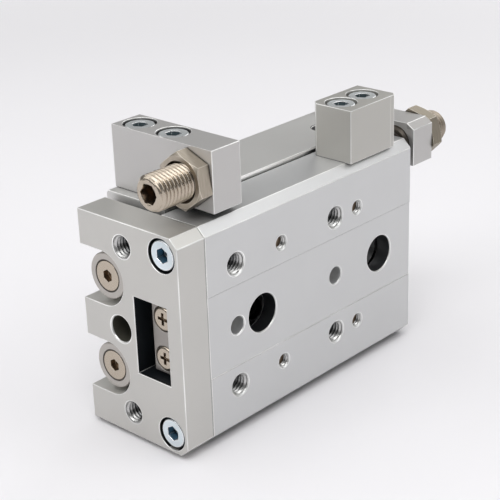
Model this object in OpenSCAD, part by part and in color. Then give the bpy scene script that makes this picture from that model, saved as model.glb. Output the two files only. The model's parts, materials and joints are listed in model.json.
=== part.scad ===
// Pneumatic slide table: twin cylinder body, crossed-roller guide, table, end plate and two stroke adjusters.
// X runs rearward along the stroke, -Y is the table's mounting face, +Y is the body's mounting face, Z is width.
// The frame's origin lies on the body's mounting face, midway between its two through holes.
// Pieces are drawn from the end plate's front (X) and the table's face (Y), then placed by at_frame.

/* [Slide] */
// overall height from the body's mounting face to the table's face
slide_h = 30.7; // [28:0.1:34]
// width of the table and of the end plate
slide_w = 50; // [47:0.5:56]
// how far the body stands proud of the table on each side
body_step = 0.9; // [0.3:0.1:2]
// chamfer along the two outer edges of the table and end plate
edge_chamfer = 2; // [0.5:0.1:3]
// travel of the table
stroke = 32; // [20:1:40]
// running gap between the table's skirts and the body
skirt_gap = 0.3; // [0.2:0.05:0.6]

/* [Body] */
// cylinder bore diameter
bore_d = 12; // [10:0.5:12.5]
// half the distance between the two bore axes
bore_z = 10.65; // [10.2:0.05:11.5]
// depth of the bore axes below the table's face
bore_y = 22.9; // [22.2:0.1:23.4]
// height of the raised land that carries the rail
land_h = 1.2; // [0.6:0.1:2]
// sensor groove diameter
groove_d = 3.6; // [3:0.1:4]
// mouth width of a sensor groove
groove_mouth = 2.6; // [2:0.1:2.8]
// depth of the first sensor groove below the table's face
groove_y = 15.6; // [15.2:0.1:16]
// distance between the two sensor grooves
groove_pitch = 4.9; // [4.6:0.1:5]
// diameter of the M5 threads
m5_d = 5; // [4.6:0.1:5.2]
// depth of the M5 mounting threads in the body
body_thread_depth = 7.5; // [5:0.5:8]
// half spacing of the body's mounting threads along the stroke
body_thread_x = 15; // [13:0.5:19]
// half spacing of the body's mounting threads across the width
body_thread_z = 21.3; // [20.8:0.1:22]
// half spacing of the two dowel holes in the body's mounting face
body_dowel_x = 25.5; // [25:0.1:26.5]
// dowel hole diameter
dowel_d = 4; // [3:0.5:4]
// dowel hole depth in the body
body_dowel_depth = 5; // [3:0.5:6]
// air gallery diameter
gallery_d = 2; // [1.5:0.1:2.2]
// distance between the through holes in the body
through_pitch = 33; // [32:0.5:35]
// diameter of the through holes in the body
through_d = 5.5; // [5.2:0.1:5.8]
// depth of the two air ports below the table's face
gallery_y = 25.5; // [25:0.1:26]
// depth of the spare port on the other side below the table's face
plug_y = 20.6; // [20:0.1:22]

/* [Table] */
// height of the table
table_h = 12.4; // [11.8:0.1:12.6]
// half width of the shallow relief between the two pads of the table's face
relief_half_w = 9.4; // [9:0.1:10.4]
// depth of that relief
relief_depth = 0.1; // [0.05:0.05:0.3]
// thickness of the table over the rail
table_top_t = 4; // [3.6:0.1:4.2]
// half spacing of the table's M5 threads across the width
table_thread_z = 14.24; // [13.5:0.02:15]
// gap between the table's rear end and the rear bracket
table_back_gap = 1.3; // [0.9:0.1:2]
// distance from the end plate's front to the first row of M5 threads and dowels
table_row_x = 16.83; // [16:0.01:18]
// spacing of the M5 thread rows and of the dowel holes along the stroke
table_row_pitch = 32.74; // [31:0.01:34]
// distance from the end plate's front to the first pair of guide block screws
guide_screw_x = 31.2; // [29:0.1:33]
// spacing of the guide block screws along the stroke
guide_screw_pitch = 26.2; // [25:0.1:28]
// access hole diameter
access_d = 8.8; // [8:0.1:9.4]
// distance from the end plate's front to the front access hole
access_x = 24.74; // [24:0.01:26]
// spacing of the two access holes
access_pitch = 41; // [40:0.1:42]

/* [End plate] */
// thickness of the end plate
plate_t = 8; // [7.6:0.1:8.4]
// height of the end plate
plate_h = 29.5; // [28:0.1:30]
// gap between the end plate and the body's front face
front_gap = 1.6; // [1.5:0.1:3]
// height of the window over the rail's end
window_h = 9.75; // [9:0.05:10.5]
// width of the window over the rail's end
window_w = 18; // [17.2:0.1:18.4]
// width of the notches that take the floating bushes
notch_w = 12.5; // [11.5:0.1:12.8]
// depth of the notch pocket from the front
notch_depth = 4.6; // [4:0.1:5.5]
// width of the narrow slot behind the pocket
slot_w = 8; // [7.6:0.1:8.6]
// depth of the M5 threads below the table's face
plate_thread_y = 16.3; // [15.5:0.1:17]
// half spacing of the end plate's M5 threads
plate_thread_z = 19.45; // [19.3:0.05:20.5]
// pin hole diameter in the end plate
plate_pin_d = 6; // [5:0.5:6.5]
// depth of the pin hole below the table's face
plate_pin_y = 18.35; // [18:0.05:19]
// depth of the end plate's screws below the table's face
plate_screw_y = 4.6; // [4.4:0.1:5]
// half spacing of the end plate's screws
plate_screw_z = 20.5; // [20.3:0.1:20.9]
// length of the end plate's screws under their heads
plate_screw_len = 12; // [10:0.5:13]

/* [Guide] */
// distance from the end plate's front to the guide rail
rail_x = 4.1; // [3.8:0.1:5]
// half width of the guide rail
rail_half_w = 8.4; // [7.8:0.1:8.6]
// gap between the table's underside and the rail
rail_gap = 0.3; // [0.2:0.05:0.5]
// depth of the roller plane below the table's face
roller_y = 7.8; // [7.6:0.05:8]
// roller diameter
roller_d = 3; // [2.6:0.1:3.2]
// roller length
roller_len = 2.8; // [2.4:0.1:2.9]
// gap between the rail and each guide block
cage_gap = 1.5; // [1.2:0.1:1.7]
// distance between neighbouring rollers
roller_pitch = 4; // [3.8:0.1:4.3]
// number of rollers in each cage
roller_count = 9; // [6:1:10]
// thickness of a roller cage
cage_t = 0.7; // [0.4:0.1:0.9]
// height of a roller cage
cage_h = 5.6; // [5:0.1:5.8]
// distance from the end plate's front to the cages' front ends
cage_x = 20.4; // [20:0.1:24]
// distance from each end of the table to the guide blocks
guide_end = 4.35; // [3.5:0.05:6]
// height of a guide block
guide_h = 4.6; // [4.2:0.1:5]
// width of a guide block
guide_w = 8; // [7.6:0.1:8.2]
// thickness of the rail's end plates
rail_plate_t = 1.6; // [1.4:0.1:2]
// height of the rail's end plates
rail_plate_h = 6.4; // [6:0.1:6.8]
// how far the end plates' screw heads stand proud of the plates
plate_head_out = 0.2; // [0:0.05:0.4]
// half spacing of the screws in the rail's end plates
rail_plate_screw_z = 4.6; // [4.2:0.1:4.8]
// length of the screws in the rail's end plates
rail_plate_screw_len = 4.8; // [4:0.1:4.9]
// head diameter of the rail's own screws
rail_screw_head_d = 6; // [5.6:0.1:6.4]

/* [Cylinders] */
// piston rod diameter
rod_d = 6; // [5:0.5:7]
// length of a rod cover
cover_len = 8.4; // [7.5:0.1:8.6]
// length of a head cap
cap_len = 4.3; // [3.6:0.1:4.6]
// thickness of the retaining rings
ring_t = 0.8; // [0.6:0.1:1]
// length of a piston
piston_len = 13; // [11.5:0.5:15]
// free bore behind the piston's bumper when the table is in
rear_room = 5.5; // [4.8:0.1:8]
// distance from the piston's front to its first groove
band_in = 1.2; // [1:0.1:1.4]
// distance from one piston groove to the next
band_pitch = 3.2; // [3:0.1:3.4]
// width of the wear ring's and the seal's grooves
band_w = 2; // [1.6:0.1:2.4]
// width of the magnet's groove
magnet_w = 3; // [2.6:0.1:3.4]
// diameter of the floating bushes
bush_d = 10.5; // [9.5:0.1:11]
// thickness of a floating bush's front disc
bush_disc_t = 3.2; // [2.6:0.1:3.4]
// head diameter of the screws through the floating bushes
bush_head_d = 6.8; // [6.4:0.1:7]
// length of the screws through the floating bushes
bush_screw_len = 14; // [12:0.5:14.5]

/* [Stroke adjusters] */
// adjuster bolt diameter
bolt_d = 8; // [7:0.5:8]
// adjuster bolt thread pitch, which sets its advance per turn
bolt_pitch = 1; // [0.75:0.25:1.25]
// height of the front bolt's axis over the table's centre plane
front_bolt_z = 33.2; // [32.8:0.1:33.6]
// depth of the front bolt's axis below the table's face
front_bolt_y = 7; // [6.6:0.1:7.4]
// how far the front bolt's head end lies behind the end plate's front
front_bolt_x = -0.1; // [-1:0.1:2]
// height of the rear bolt's axis over the table's centre plane
rear_bolt_z = 23; // [22.4:0.1:23.4]
// depth of the rear bolt's axis below the table's face
rear_bolt_y = 5.5; // [5.3:0.1:6]
// length of the rear bolt
rear_bolt_len = 16.6; // [15:0.1:20]
// lock nut width across its flats
nut_af = 11; // [10:0.5:12]
// lock nut thickness
nut_t = 3.5; // [2.5:0.1:5]
// width of the bolts' hexagon socket
socket_af = 4; // [3:0.5:4.5]
// how far each bumper stands out of its bolt
bumper_out = 0.4; // [0.3:0.05:0.8]

/* [Adjuster blocks] */
// distance from the end plate's front to the front adjuster block
front_block_x = 12.1; // [11.9:0.1:13]
// length of the front adjuster block along the stroke
front_block_len = 8.3; // [8.2:0.1:9]
// height of the front adjuster block
front_block_h = 14.2; // [13.8:0.1:15]
// depth of the front adjuster block's near face below the table's face
front_block_y = 1; // [0.4:0.1:1.2]
// how far the front block's overhang is cut back over the table
front_block_relief = 0.6; // [0.2:0.1:1]
// turn of the front lock nut from its corner-up position
front_nut_turn = -8; // [-30:1:30]
// turn of the rear lock nut from its corner-up position
rear_nut_turn = -15; // [-30:1:30]
// depth of the front block's near screw below the table's face
front_screw_y = 15.9; // [15.6:0.1:16.4]
// spacing of the front block's screws
front_screw_pitch = 10.1; // [9.8:0.1:10.4]
// distance from the stopper block to the table's rear end
stopper_back = 5.3; // [4:0.1:8]
// length of the stopper block along the stroke
stopper_len = 16.8; // [16.4:0.1:18]
// height of the stopper block
stopper_h = 12.4; // [12.2:0.1:14]
// depth of the stopper block's near face below the table's face
stopper_y = 0.3; // [0.1:0.1:0.8]
// width of the stopper block
stopper_w = 11.3; // [10.8:0.1:11.6]
// spacing of the stopper block's screws
stopper_screw_pitch = 7.7; // [7.5:0.1:8.4]
// distance of the stopper block's screws from its near face
stopper_screw_in = 6.1; // [5.8:0.1:6.4]
// thickness of the rear bracket
bracket_t = 7.4; // [7:0.1:8.4]
// height of the rear bracket
bracket_h = 10.3; // [10:0.1:11]
// chamfer on the rear bracket's outer edge
bracket_chamfer = 2; // [1:0.1:2.4]

/* [Fasteners] */
// M4 cap screw head diameter
m4_head_d = 7; // [6.6:0.1:7.2]
// M4 cap screw head height
m4_head_h = 4; // [3.4:0.1:4.2]
// M4 shank diameter
m4_d = 4; // [3.8:0.1:4.2]
// M3 shank diameter
m3_d = 3; // [2.6:0.1:3.1]
// M3 head diameter
m3_head_d = 5.4; // [5:0.1:5.8]
// clearance of a screw head in its counterbore, on the radius
head_clear = 0.2; // [0.1:0.05:0.25]
// clearance of a screw shank in its hole, on the radius
shank_clear = 0.05; // [0.03:0.01:0.1]
// radial running clearance of shafts, rods and pistons
run_clear = 0.04; // [0.02:0.01:0.08]

/* [Hidden] */
$fn = 48;
body_x = plate_t + front_gap;
ring_x = body_x + 0.6;
cover_x = ring_x + ring_t + 0.1;
cover_end = cover_x + cover_len;
front_gallery_x = cover_end + 0.1 + gallery_d / 2;
piston_x = front_gallery_x + gallery_d / 2 - 0.6 + stroke;
bumper_t = 1.5;
cap_x = piston_x + piston_len + bumper_t + rear_room;
rear_gallery_x = cap_x - 1.8 - gallery_d / 2;
rear_ring_x = cap_x + cap_len + 0.1;
body_rear = rear_ring_x + ring_t + 0.8;
body_len = body_rear - body_x;
body_half_w = slide_w / 2 + body_step;
body_y = table_h + skirt_gap;
land_y = body_y - land_h;
table_rear = body_rear - table_back_gap;
table_len = table_rear - plate_t;
datum_x = access_x + through_pitch / 2;
through_x = [access_x, access_x + through_pitch];
rail_y = table_top_t + rail_gap;
rail_h = land_y - rail_y;
rail_len = rear_plate_front() - rail_x;
groove_s = roller_d + 2 * run_clear;
roller_z = rail_half_w + cage_gap / 2;
channel_half_w = rail_half_w + cage_gap;
guide_x = plate_t + guide_end;
guide_len = table_len - 2 * guide_end;
guide_y = roller_y + 0.1 - guide_h / 2;
guide_seat_z = channel_half_w + guide_w + 0.1;
cage_len = (roller_count - 1) * roller_pitch + roller_d + 2;
window_y = table_top_t;
bush_x = notch_depth - 0.1 - bush_disc_t;
bush_flange_t = 1.2;
rod_x = plate_t + 0.1 + bush_flange_t;
rod_tail_d = rod_d - 2;
stopper_x = table_rear - stopper_back - stopper_len;
front_stop_x = stopper_x - stroke - 0.3;
front_bumper_d = 5;
bumper_in = 3;
rear_stop_x = table_rear + 0.3;
m4_cbore_d = m4_head_d + 2 * head_clear;
m4_cbore_h = m4_head_h + 0.3;
plate_sink = rail_plate_t - 0.8;
plate_head_h = plate_sink + plate_head_out;
small_d = m3_d + 2 * shank_clear;
nut_face_d = nut_af + 0.1;
nut_cone_d = nut_face_d + 2 * nut_t / tan(30);
m4_hole_d = m4_d + 2 * shank_clear;
bracket_z = body_half_w + 2.3 - bracket_h;
bracket_y = 0.1;
bracket_w = 29.1;
bracket_screw_y = 17.6;
bracket_screw_pitch = 8.2;
front_block_w = 29.5;
stopper_screw_y = stopper_y + stopper_screw_in;

// ---------- shared helpers ----------

function rear_plate_front() = plate_t + table_len - 0.2 - rail_plate_t;

// places what is drawn from the end plate's front and the table's face into the part's frame
module at_frame() {
    translate([-datum_x, -slide_h, 0])
        children();
}

// a cylinder along X from its front end
module rod_along(x, y, z, d, len) {
    translate([x, y, z])
        rotate([0, 90, 0])
            cylinder(d = d, h = len);
}

// a cylinder going down into the table's face, along +Y
module hole_in(x, y, z, d, len) {
    translate([x, y, z])
        rotate([-90, 0, 0])
            cylinder(d = d, h = len);
}

// a countersink at the table's face, opening toward -Y
module sink_in(x, y, z, d, wide, depth) {
    translate([x, y - 0.01, z])
        rotate([-90, 0, 0])
            cylinder(d1 = wide, d2 = d, h = depth);
}

// a threaded hole into the table's face with its lead chamfer
module face_thread(x, z, d, len, lead) {
    hole_in(x, -1, z, d, len + 1);
    sink_in(x, 0, z, d, d + 2 * lead, lead);
}

// socket cap screw with its head's top at the origin and its shank toward -Z
module cap_screw(len) {
    difference() {
        union() {
            translate([0, 0, -m4_head_h])
                cylinder(d = m4_head_d, h = m4_head_h - 0.4);
            translate([0, 0, -0.4])
                cylinder(d1 = m4_head_d, d2 = m4_head_d - 0.8, h = 0.4);
            translate([0, 0, -m4_head_h - len])
                cylinder(d = m4_d, h = len + 0.1);
        }
        translate([0, 0, -2.2])
            cylinder(d = 3.46, h = 3, $fn = 6);
    }
}

// countersunk screw with its top at the origin and its shank toward -Z
module flat_screw(head_d, d, len, head_h, af) {
    difference() {
        union() {
            translate([0, 0, -0.3])
                cylinder(d = head_d, h = 0.3);
            translate([0, 0, -head_h])
                cylinder(d1 = d, d2 = head_d, h = head_h - 0.3);
            translate([0, 0, -len])
                cylinder(d = d, h = len - head_h + 0.05);
        }
        translate([0, 0, -1.2])
            cylinder(d = af / cos(30), h = 2, $fn = 6);
    }
}

// the recess that a countersunk screw sits in, with its through hole
module flat_screw_hole(head_d, d, len, head_h) {
    translate([0, 0, -0.3])
        cylinder(d = head_d + 0.1, h = 1.3);
    translate([0, 0, -head_h - 0.05])
        cylinder(d1 = d + 0.1, d2 = head_d + 0.1, h = head_h - 0.25);
    translate([0, 0, -len])
        cylinder(d = d + 2 * shank_clear, h = len);
}

// cross-recess pan screw with its head's underside at the origin and its shank toward -Z
module cross_screw(len) {
    difference() {
        union() {
            cylinder(d = m3_head_d, h = plate_head_h - 0.25);
            translate([0, 0, plate_head_h - 0.25])
                cylinder(d1 = m3_head_d, d2 = m3_head_d - 0.9, h = 0.25);
            translate([0, 0, -len])
                cylinder(d = m3_d, h = len + 0.1);
        }
        translate([-0.35, -1.4, 0.2])
            cube([0.7, 2.8, 2]);
        translate([-1.4, -0.35, 0.2])
            cube([2.8, 0.7, 2]);
    }
}

// hexagonal lock nut along X with chamfered corners on its outer face
module lock_nut(x, y, z, turn, outward) {
    translate([x, y, z])
        rotate([turn, 0, 0])
            rotate([0, 90, 0])
                difference() {
                    intersection() {
                        cylinder(d = nut_af / cos(30), h = nut_t, $fn = 6);
                        cylinder(d1 = outward > 0 ? nut_cone_d : nut_face_d,
                                 d2 = outward > 0 ? nut_face_d : nut_cone_d, h = nut_t);
                    }
                    translate([0, 0, -1])
                        cylinder(d = bolt_d + 2 * run_clear, h = nut_t + 2);
                    translate([0, 0, outward > 0 ? nut_t - 0.6 : -0.01])
                        cylinder(d1 = outward > 0 ? bolt_d : bolt_d + 1.2,
                                 d2 = outward > 0 ? bolt_d + 1.2 : bolt_d, h = 0.61);
                }
}

// ---------- body ----------

module body_profile() {
    polygon([
        [land_y, -rail_half_w], [land_y, rail_half_w], [body_y, rail_half_w], [body_y, body_half_w - 0.4],
        [body_y + 0.4, body_half_w], [slide_h - 0.5, body_half_w], [slide_h, body_half_w - 0.5],
        [slide_h, -body_half_w + 0.5], [slide_h - 0.5, -body_half_w], [body_y + 0.4, -body_half_w],
        [body_y, -body_half_w + 0.4], [body_y, -rail_half_w]
    ]);
}

// extrudes a profile drawn as [Y, Z] along X
module extrude_x(x, len) {
    translate([x, 0, 0])
        rotate([90, 0, 90])
            linear_extrude(height = len)
                children();
}

module sensor_groove(y) {
    rod_along(body_x - 1, y, -body_half_w + groove_d / 2 + 0.6, groove_d, body_len + 2);
    translate([body_x - 1, y - groove_mouth / 2, -body_half_w - 1])
        cube([body_len + 2, groove_mouth, groove_d / 2 + 1.6]);
}

// M5 port with its lead chamfer, opening into a gallery
module air_port(x, y, side) {
    translate([x, y, side * body_half_w])
        rotate([side > 0 ? 180 : 0, 0, 0])
            union() {
                translate([0, 0, -1])
                    cylinder(d = m5_d, h = 6.5);
                translate([0, 0, -0.01])
                    cylinder(d1 = m5_d + 0.6, d2 = m5_d, h = 0.3);
                translate([0, 0, 4])
                    cylinder(d = gallery_d, h = 8);
            }
}

module body() {
    at_frame()
        color([0.74, 0.75, 0.76])
            difference() {
                extrude_x(body_x, body_len)
                    body_profile();
                for (s = [-1, 1]) {
                    // bore with its mouth chamfer and the grooves of the retaining rings
                    rod_along(body_x - 1, bore_y, s * bore_z, bore_d, body_len + 2);
                    rod_along(ring_x, bore_y, s * bore_z, bore_d + 1, ring_t);
                    rod_along(rear_ring_x, bore_y, s * bore_z, bore_d + 1, ring_t);
                    // mounting threads in the back
                    for (t = [-1, 1])
                        translate([datum_x + t * body_thread_x, slide_h + 1, s * body_thread_z])
                            rotate([90, 0, 0])
                                cylinder(d = m5_d, h = body_thread_depth + 1);
                    // dowel holes in the back
                    translate([datum_x + s * body_dowel_x, slide_h + 1, 0])
                        rotate([90, 0, 0])
                            cylinder(d = dowel_d, h = body_dowel_depth + 1);
                    // threads for the front block's screws
                    translate([front_block_x + front_block_len / 2,
                               front_screw_y + (s + 1) / 2 * front_screw_pitch, body_half_w - 7.6])
                        cylinder(d = m4_hole_d, h = 9);
                    // threads for the rear bracket's screws
                    rod_along(body_rear - 4.9, bracket_screw_y + (s + 1) / 2 * bracket_screw_pitch,
                              bracket_screw_z(), m4_hole_d, 6);
                }
                // through holes under the access holes
                for (x = through_x)
                    hole_in(x, land_y - 1, 0, through_d, slide_h);
                // threads for the rail's screws
                for (x = rail_screw_xs())
                    hole_in(x, land_y - 1, 0, small_d, 6.2);
                // air galleries and ports
                translate([front_gallery_x, gallery_y, -body_half_w + 5])
                    cylinder(d = gallery_d, h = body_half_w - 5 + bore_z);
                translate([rear_gallery_x, gallery_y, -body_half_w + 5])
                    cylinder(d = gallery_d, h = body_half_w - 5 + bore_z);
                air_port(front_gallery_x, gallery_y, -1);
                air_port(rear_gallery_x, gallery_y, -1);
                air_port(rear_gallery_x, plug_y, 1);
                sensor_groove(groove_y);
                sensor_groove(groove_y + groove_pitch);
            }
}

// ---------- guide ----------

function rail_screw_xs() = [rail_x + 8.6, datum_x, rail_x + rail_len - 3.4];

// square bar set on its corner: the V groove's shape
module v_bar(x, len, y, z, side) {
    translate([x + len / 2, y, z])
        rotate([45, 0, 0])
            cube([len, side, side], center = true);
}

module guide_rail() {
    at_frame()
        color([0.5, 0.49, 0.47])
            difference() {
                translate([rail_x, rail_y, -rail_half_w])
                    cube([rail_len, rail_h, 2 * rail_half_w]);
                for (s = [-1, 1]) {
                    v_bar(rail_x - 1, rail_len + 2, roller_y, s * roller_z, groove_s);
                    // relief slot at the bottom of the groove
                    translate([rail_x - 1, roller_y - 0.35, s * (roller_z - groove_s / sqrt(2)) - 0.4])
                        cube([rail_len + 2, 0.7, 0.8]);
                    // threads for the end plates' screws
                    rod_along(rail_x - 1, roller_y, s * rail_plate_screw_z, small_d, 6);
                    rod_along(rail_x + rail_len - 5, roller_y, s * rail_plate_screw_z, small_d, 6);
                }
                // counterbored through holes
                for (x = through_x) {
                    hole_in(x, rail_y - 1, 0, through_d, rail_h + 2);
                    hole_in(x, rail_y - 1, 0, access_d + 0.4, 6.2);
                }
                // countersunk holes of the rail's own screws
                for (x = rail_screw_xs())
                    translate([x, rail_y, 0])
                        rotate([90, 0, 0])
                            flat_screw_hole(rail_screw_head_d, m3_d, rail_h + 1, 1.9);
            }
}

module rail_screws() {
    at_frame()
        color([0.3, 0.3, 0.32])
            for (x = rail_screw_xs())
                translate([x, rail_y + 0.05, 0])
                    rotate([90, 0, 0])
                        flat_screw(rail_screw_head_d, m3_d, rail_h + 4.6, 1.9, 2);
}

// end plate of the rail, with its screw heads let into the outer face
module rail_plate(x, side) {
    difference() {
        translate([x, roller_y - rail_plate_h / 2, -rail_half_w + 0.4])
            cube([rail_plate_t, rail_plate_h, 2 * rail_half_w - 0.8]);
        for (s = [-1, 1]) {
            rod_along(x - 1, roller_y, s * rail_plate_screw_z, small_d, rail_plate_t + 2);
            rod_along(side > 0 ? x + rail_plate_t - plate_sink : x - 1, roller_y, s * rail_plate_screw_z,
                      m3_head_d + 0.4, plate_sink + 1);
        }
    }
}

module front_rail_plate() {
    at_frame()
        color([0.42, 0.4, 0.38])
            rail_plate(rail_x - rail_plate_t, -1);
}

module rear_rail_plate() {
    at_frame()
        color([0.42, 0.4, 0.38])
            rail_plate(rail_x + rail_len, 1);
}

module front_plate_screws() {
    at_frame()
        color([0.78, 0.76, 0.7])
            for (s = [-1, 1])
                translate([rail_x - rail_plate_t + plate_sink, roller_y, s * rail_plate_screw_z])
                    rotate([0, -90, 0])
                        cross_screw(rail_plate_screw_len);
}

module rear_plate_screws() {
    at_frame()
        color([0.78, 0.76, 0.7])
            for (s = [-1, 1])
                translate([rail_x + rail_len + rail_plate_t - plate_sink, roller_y, s * rail_plate_screw_z])
                    rotate([0, 90, 0])
                        cross_screw(rail_plate_screw_len);
}

module guide_block(side) {
    z0 = channel_half_w;
    color([0.55, 0.54, 0.52])
        difference() {
            translate([guide_x, guide_y, side > 0 ? z0 : -z0 - guide_w])
                cube([guide_len, guide_h, guide_w]);
            v_bar(guide_x - 1, guide_len + 2, roller_y, side * roller_z, groove_s);
            translate([guide_x - 1, roller_y - 0.35, side * (roller_z + groove_s / sqrt(2)) - 0.4])
                cube([guide_len + 2, 0.7, 0.8]);
            for (k = [0, 1])
                translate([guide_screw_x + k * guide_screw_pitch, guide_y + guide_h, side * guide_hole_z()])
                    rotate([-90, 0, 0])
                        flat_screw_hole(m3_head_d, m3_d, guide_h + 1, 1.7);
        }
}

function guide_hole_z() = table_thread_z;

module upper_guide_block() {
    at_frame()
        guide_block(1);
}

module lower_guide_block() {
    at_frame()
        guide_block(-1);
}

module guide_screws() {
    at_frame()
        color([0.5, 0.42, 0.34])
            for (s = [-1, 1], k = [0, 1])
                translate([guide_screw_x + k * guide_screw_pitch, guide_y + guide_h - 0.05, s * guide_hole_z()])
                    rotate([-90, 0, 0])
                        flat_screw(m3_head_d, m3_d, guide_h + guide_y - 1.6, 1.7, 2);
}

// cage strip with one window for each roller
module roller_cage(side) {
    color([0.72, 0.62, 0.4])
        difference() {
            translate([cage_x, roller_y - cage_h / 2, side * roller_z - cage_t / 2])
                cube([cage_len, cage_h, cage_t]);
            for (k = [0 : roller_count - 1])
                translate([cage_x + 1 + roller_d / 2 + k * roller_pitch, roller_y, side * roller_z])
                    cube([roller_d + 0.2, (roller_d + roller_len) / sqrt(2) + 0.1, cage_t + 2], center = true);
        }
}

// rollers whose axes cross from one to the next
module roller_row(side) {
    color([0.8, 0.8, 0.82])
        for (k = [0 : roller_count - 1])
            translate([cage_x + 1 + roller_d / 2 + k * roller_pitch, roller_y, side * roller_z])
                rotate([k % 2 == 0 ? 45 : -45, 0, 0])
                    cylinder(d = roller_d, h = roller_len, center = true, $fn = 24);
}

module upper_cage() {
    at_frame()
        roller_cage(1);
}

module lower_cage() {
    at_frame()
        roller_cage(-1);
}

module upper_rollers() {
    at_frame()
        roller_row(1);
}

module lower_rollers() {
    at_frame()
        roller_row(-1);
}

// ---------- cylinders ----------

module rod_covers() {
    at_frame()
        color([0.7, 0.71, 0.73])
            for (s = [-1, 1])
                difference() {
                    rod_along(cover_x, bore_y, s * bore_z, bore_d - 0.04, cover_len);
                    rod_along(cover_x - 1, bore_y, s * bore_z, rod_d + 2 * run_clear, cover_len + 2);
                    // pocket of the rod seal
                    rod_along(cover_x - 1, bore_y, s * bore_z, rod_d + 3, 3.4);
                    // groove of the O-ring
                    difference() {
                        rod_along(cover_x + 5, bore_y, s * bore_z, bore_d + 1, 1.6);
                        rod_along(cover_x + 4, bore_y, s * bore_z, bore_d - 2.2, 3.6);
                    }
                }
}

module rod_seals() {
    at_frame()
        color([0.1, 0.1, 0.1])
            for (s = [-1, 1])
                difference() {
                    rod_along(cover_x + 0.1, bore_y, s * bore_z, rod_d + 2.9, 2.2);
                    rod_along(cover_x - 1, bore_y, s * bore_z, rod_d + 2 * run_clear, 5);
                }
}

module o_ring(x, s) {
    translate([x, bore_y, s * bore_z])
        rotate([0, 90, 0])
            rotate_extrude($fn = 32)
                translate([bore_d / 2 - 0.58, 0])
                    circle(d = 1, $fn = 12);
}

module cover_o_rings() {
    at_frame()
        color([0.08, 0.08, 0.08])
            for (s = [-1, 1])
                o_ring(cover_x + 5.8, s);
}

module cap_o_rings() {
    at_frame()
        color([0.08, 0.08, 0.08])
            for (s = [-1, 1])
                o_ring(cap_x + cap_len / 2, s);
}

module retaining_ring(x, s) {
    difference() {
        rod_along(x, bore_y, s * bore_z, bore_d + 0.8, ring_t - 0.1);
        rod_along(x - 1, bore_y, s * bore_z, bore_d - 2.6, ring_t + 2);
        translate([x - 1, bore_y - 1.2, s * bore_z])
            cube([ring_t + 2, 2.4, bore_d]);
    }
}

module front_rings() {
    at_frame()
        color([0.35, 0.36, 0.38])
            for (s = [-1, 1])
                retaining_ring(ring_x + 0.05, s);
}

module rear_rings() {
    at_frame()
        color([0.35, 0.36, 0.38])
            for (s = [-1, 1])
                retaining_ring(rear_ring_x + 0.05, s);
}

module head_caps() {
    at_frame()
        color([0.7, 0.71, 0.73])
            for (s = [-1, 1])
                difference() {
                    rod_along(cap_x, bore_y, s * bore_z, bore_d - 0.04, cap_len);
                    difference() {
                        rod_along(cap_x + cap_len / 2 - 0.7, bore_y, s * bore_z, bore_d + 1, 1.4);
                        rod_along(cap_x - 1, bore_y, s * bore_z, bore_d - 2.2, cap_len + 2);
                    }
                    // jacking recess in the outer face
                    rod_along(cap_x + cap_len - 1, bore_y, s * bore_z, 3.3, 2);
                }
}

module port_plug() {
    at_frame()
        color([0.62, 0.6, 0.56])
            translate([rear_gallery_x, plug_y, body_half_w - 0.3])
                difference() {
                    translate([0, 0, -4.2])
                        cylinder(d = m5_d - 0.04, h = 4.2);
                    translate([0, 0, -2])
                        cylinder(d = 2.5 / cos(30), h = 3, $fn = 6);
                }
}

module piston_rods() {
    at_frame()
        color([0.82, 0.82, 0.83])
            for (s = [-1, 1])
                difference() {
                    union() {
                        rod_along(rod_x, bore_y, s * bore_z, rod_d, piston_x - rod_x);
                        rod_along(piston_x - 0.1, bore_y, s * bore_z, rod_tail_d - 0.04, piston_len + 0.1);
                    }
                    rod_along(rod_x - 1, bore_y, s * bore_z, m4_d + 2 * shank_clear, 8.6);
                }
}

module pistons() {
    at_frame()
        color([0.7, 0.71, 0.73])
            for (s = [-1, 1])
                difference() {
                    rod_along(piston_x, bore_y, s * bore_z, bore_d - 2 * run_clear, piston_len);
                    rod_along(piston_x - 1, bore_y, s * bore_z, rod_tail_d, piston_len + 2);
                    // grooves of the wear ring, the seal and the magnet
                    difference() {
                        union() {
                            rod_along(band_x(0), bore_y, s * bore_z, bore_d + 1, band_w);
                            rod_along(band_x(1), bore_y, s * bore_z, bore_d + 1, band_w);
                            rod_along(band_x(2), bore_y, s * bore_z, bore_d + 1, magnet_w);
                        }
                        rod_along(piston_x, bore_y, s * bore_z, bore_d - 3.4, piston_len);
                    }
                }
}

function band_x(number) = piston_x + band_in + number * band_pitch;

// ring in a groove of the piston, with a little play along it
module piston_band(x, wide, out_d) {
    for (s = [-1, 1])
        difference() {
            rod_along(x + 0.05, bore_y, s * bore_z, out_d, wide - 0.1);
            rod_along(x - 1, bore_y, s * bore_z, bore_d - 3.4, wide + 2);
        }
}

module wear_rings() {
    at_frame()
        color([0.86, 0.85, 0.8])
            piston_band(band_x(0), band_w, bore_d - 0.05);
}

module piston_seals() {
    at_frame()
        color([0.1, 0.1, 0.1])
            piston_band(band_x(1), band_w, bore_d - 0.05);
}

module piston_magnets() {
    at_frame()
        color([0.22, 0.22, 0.23])
            piston_band(band_x(2), magnet_w, bore_d - 0.6);
}

module piston_bumpers() {
    at_frame()
        color([0.75, 0.5, 0.2])
            for (s = [-1, 1])
                rod_along(piston_x + piston_len, bore_y, s * bore_z, bore_d - 3, bumper_t);
}

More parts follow.
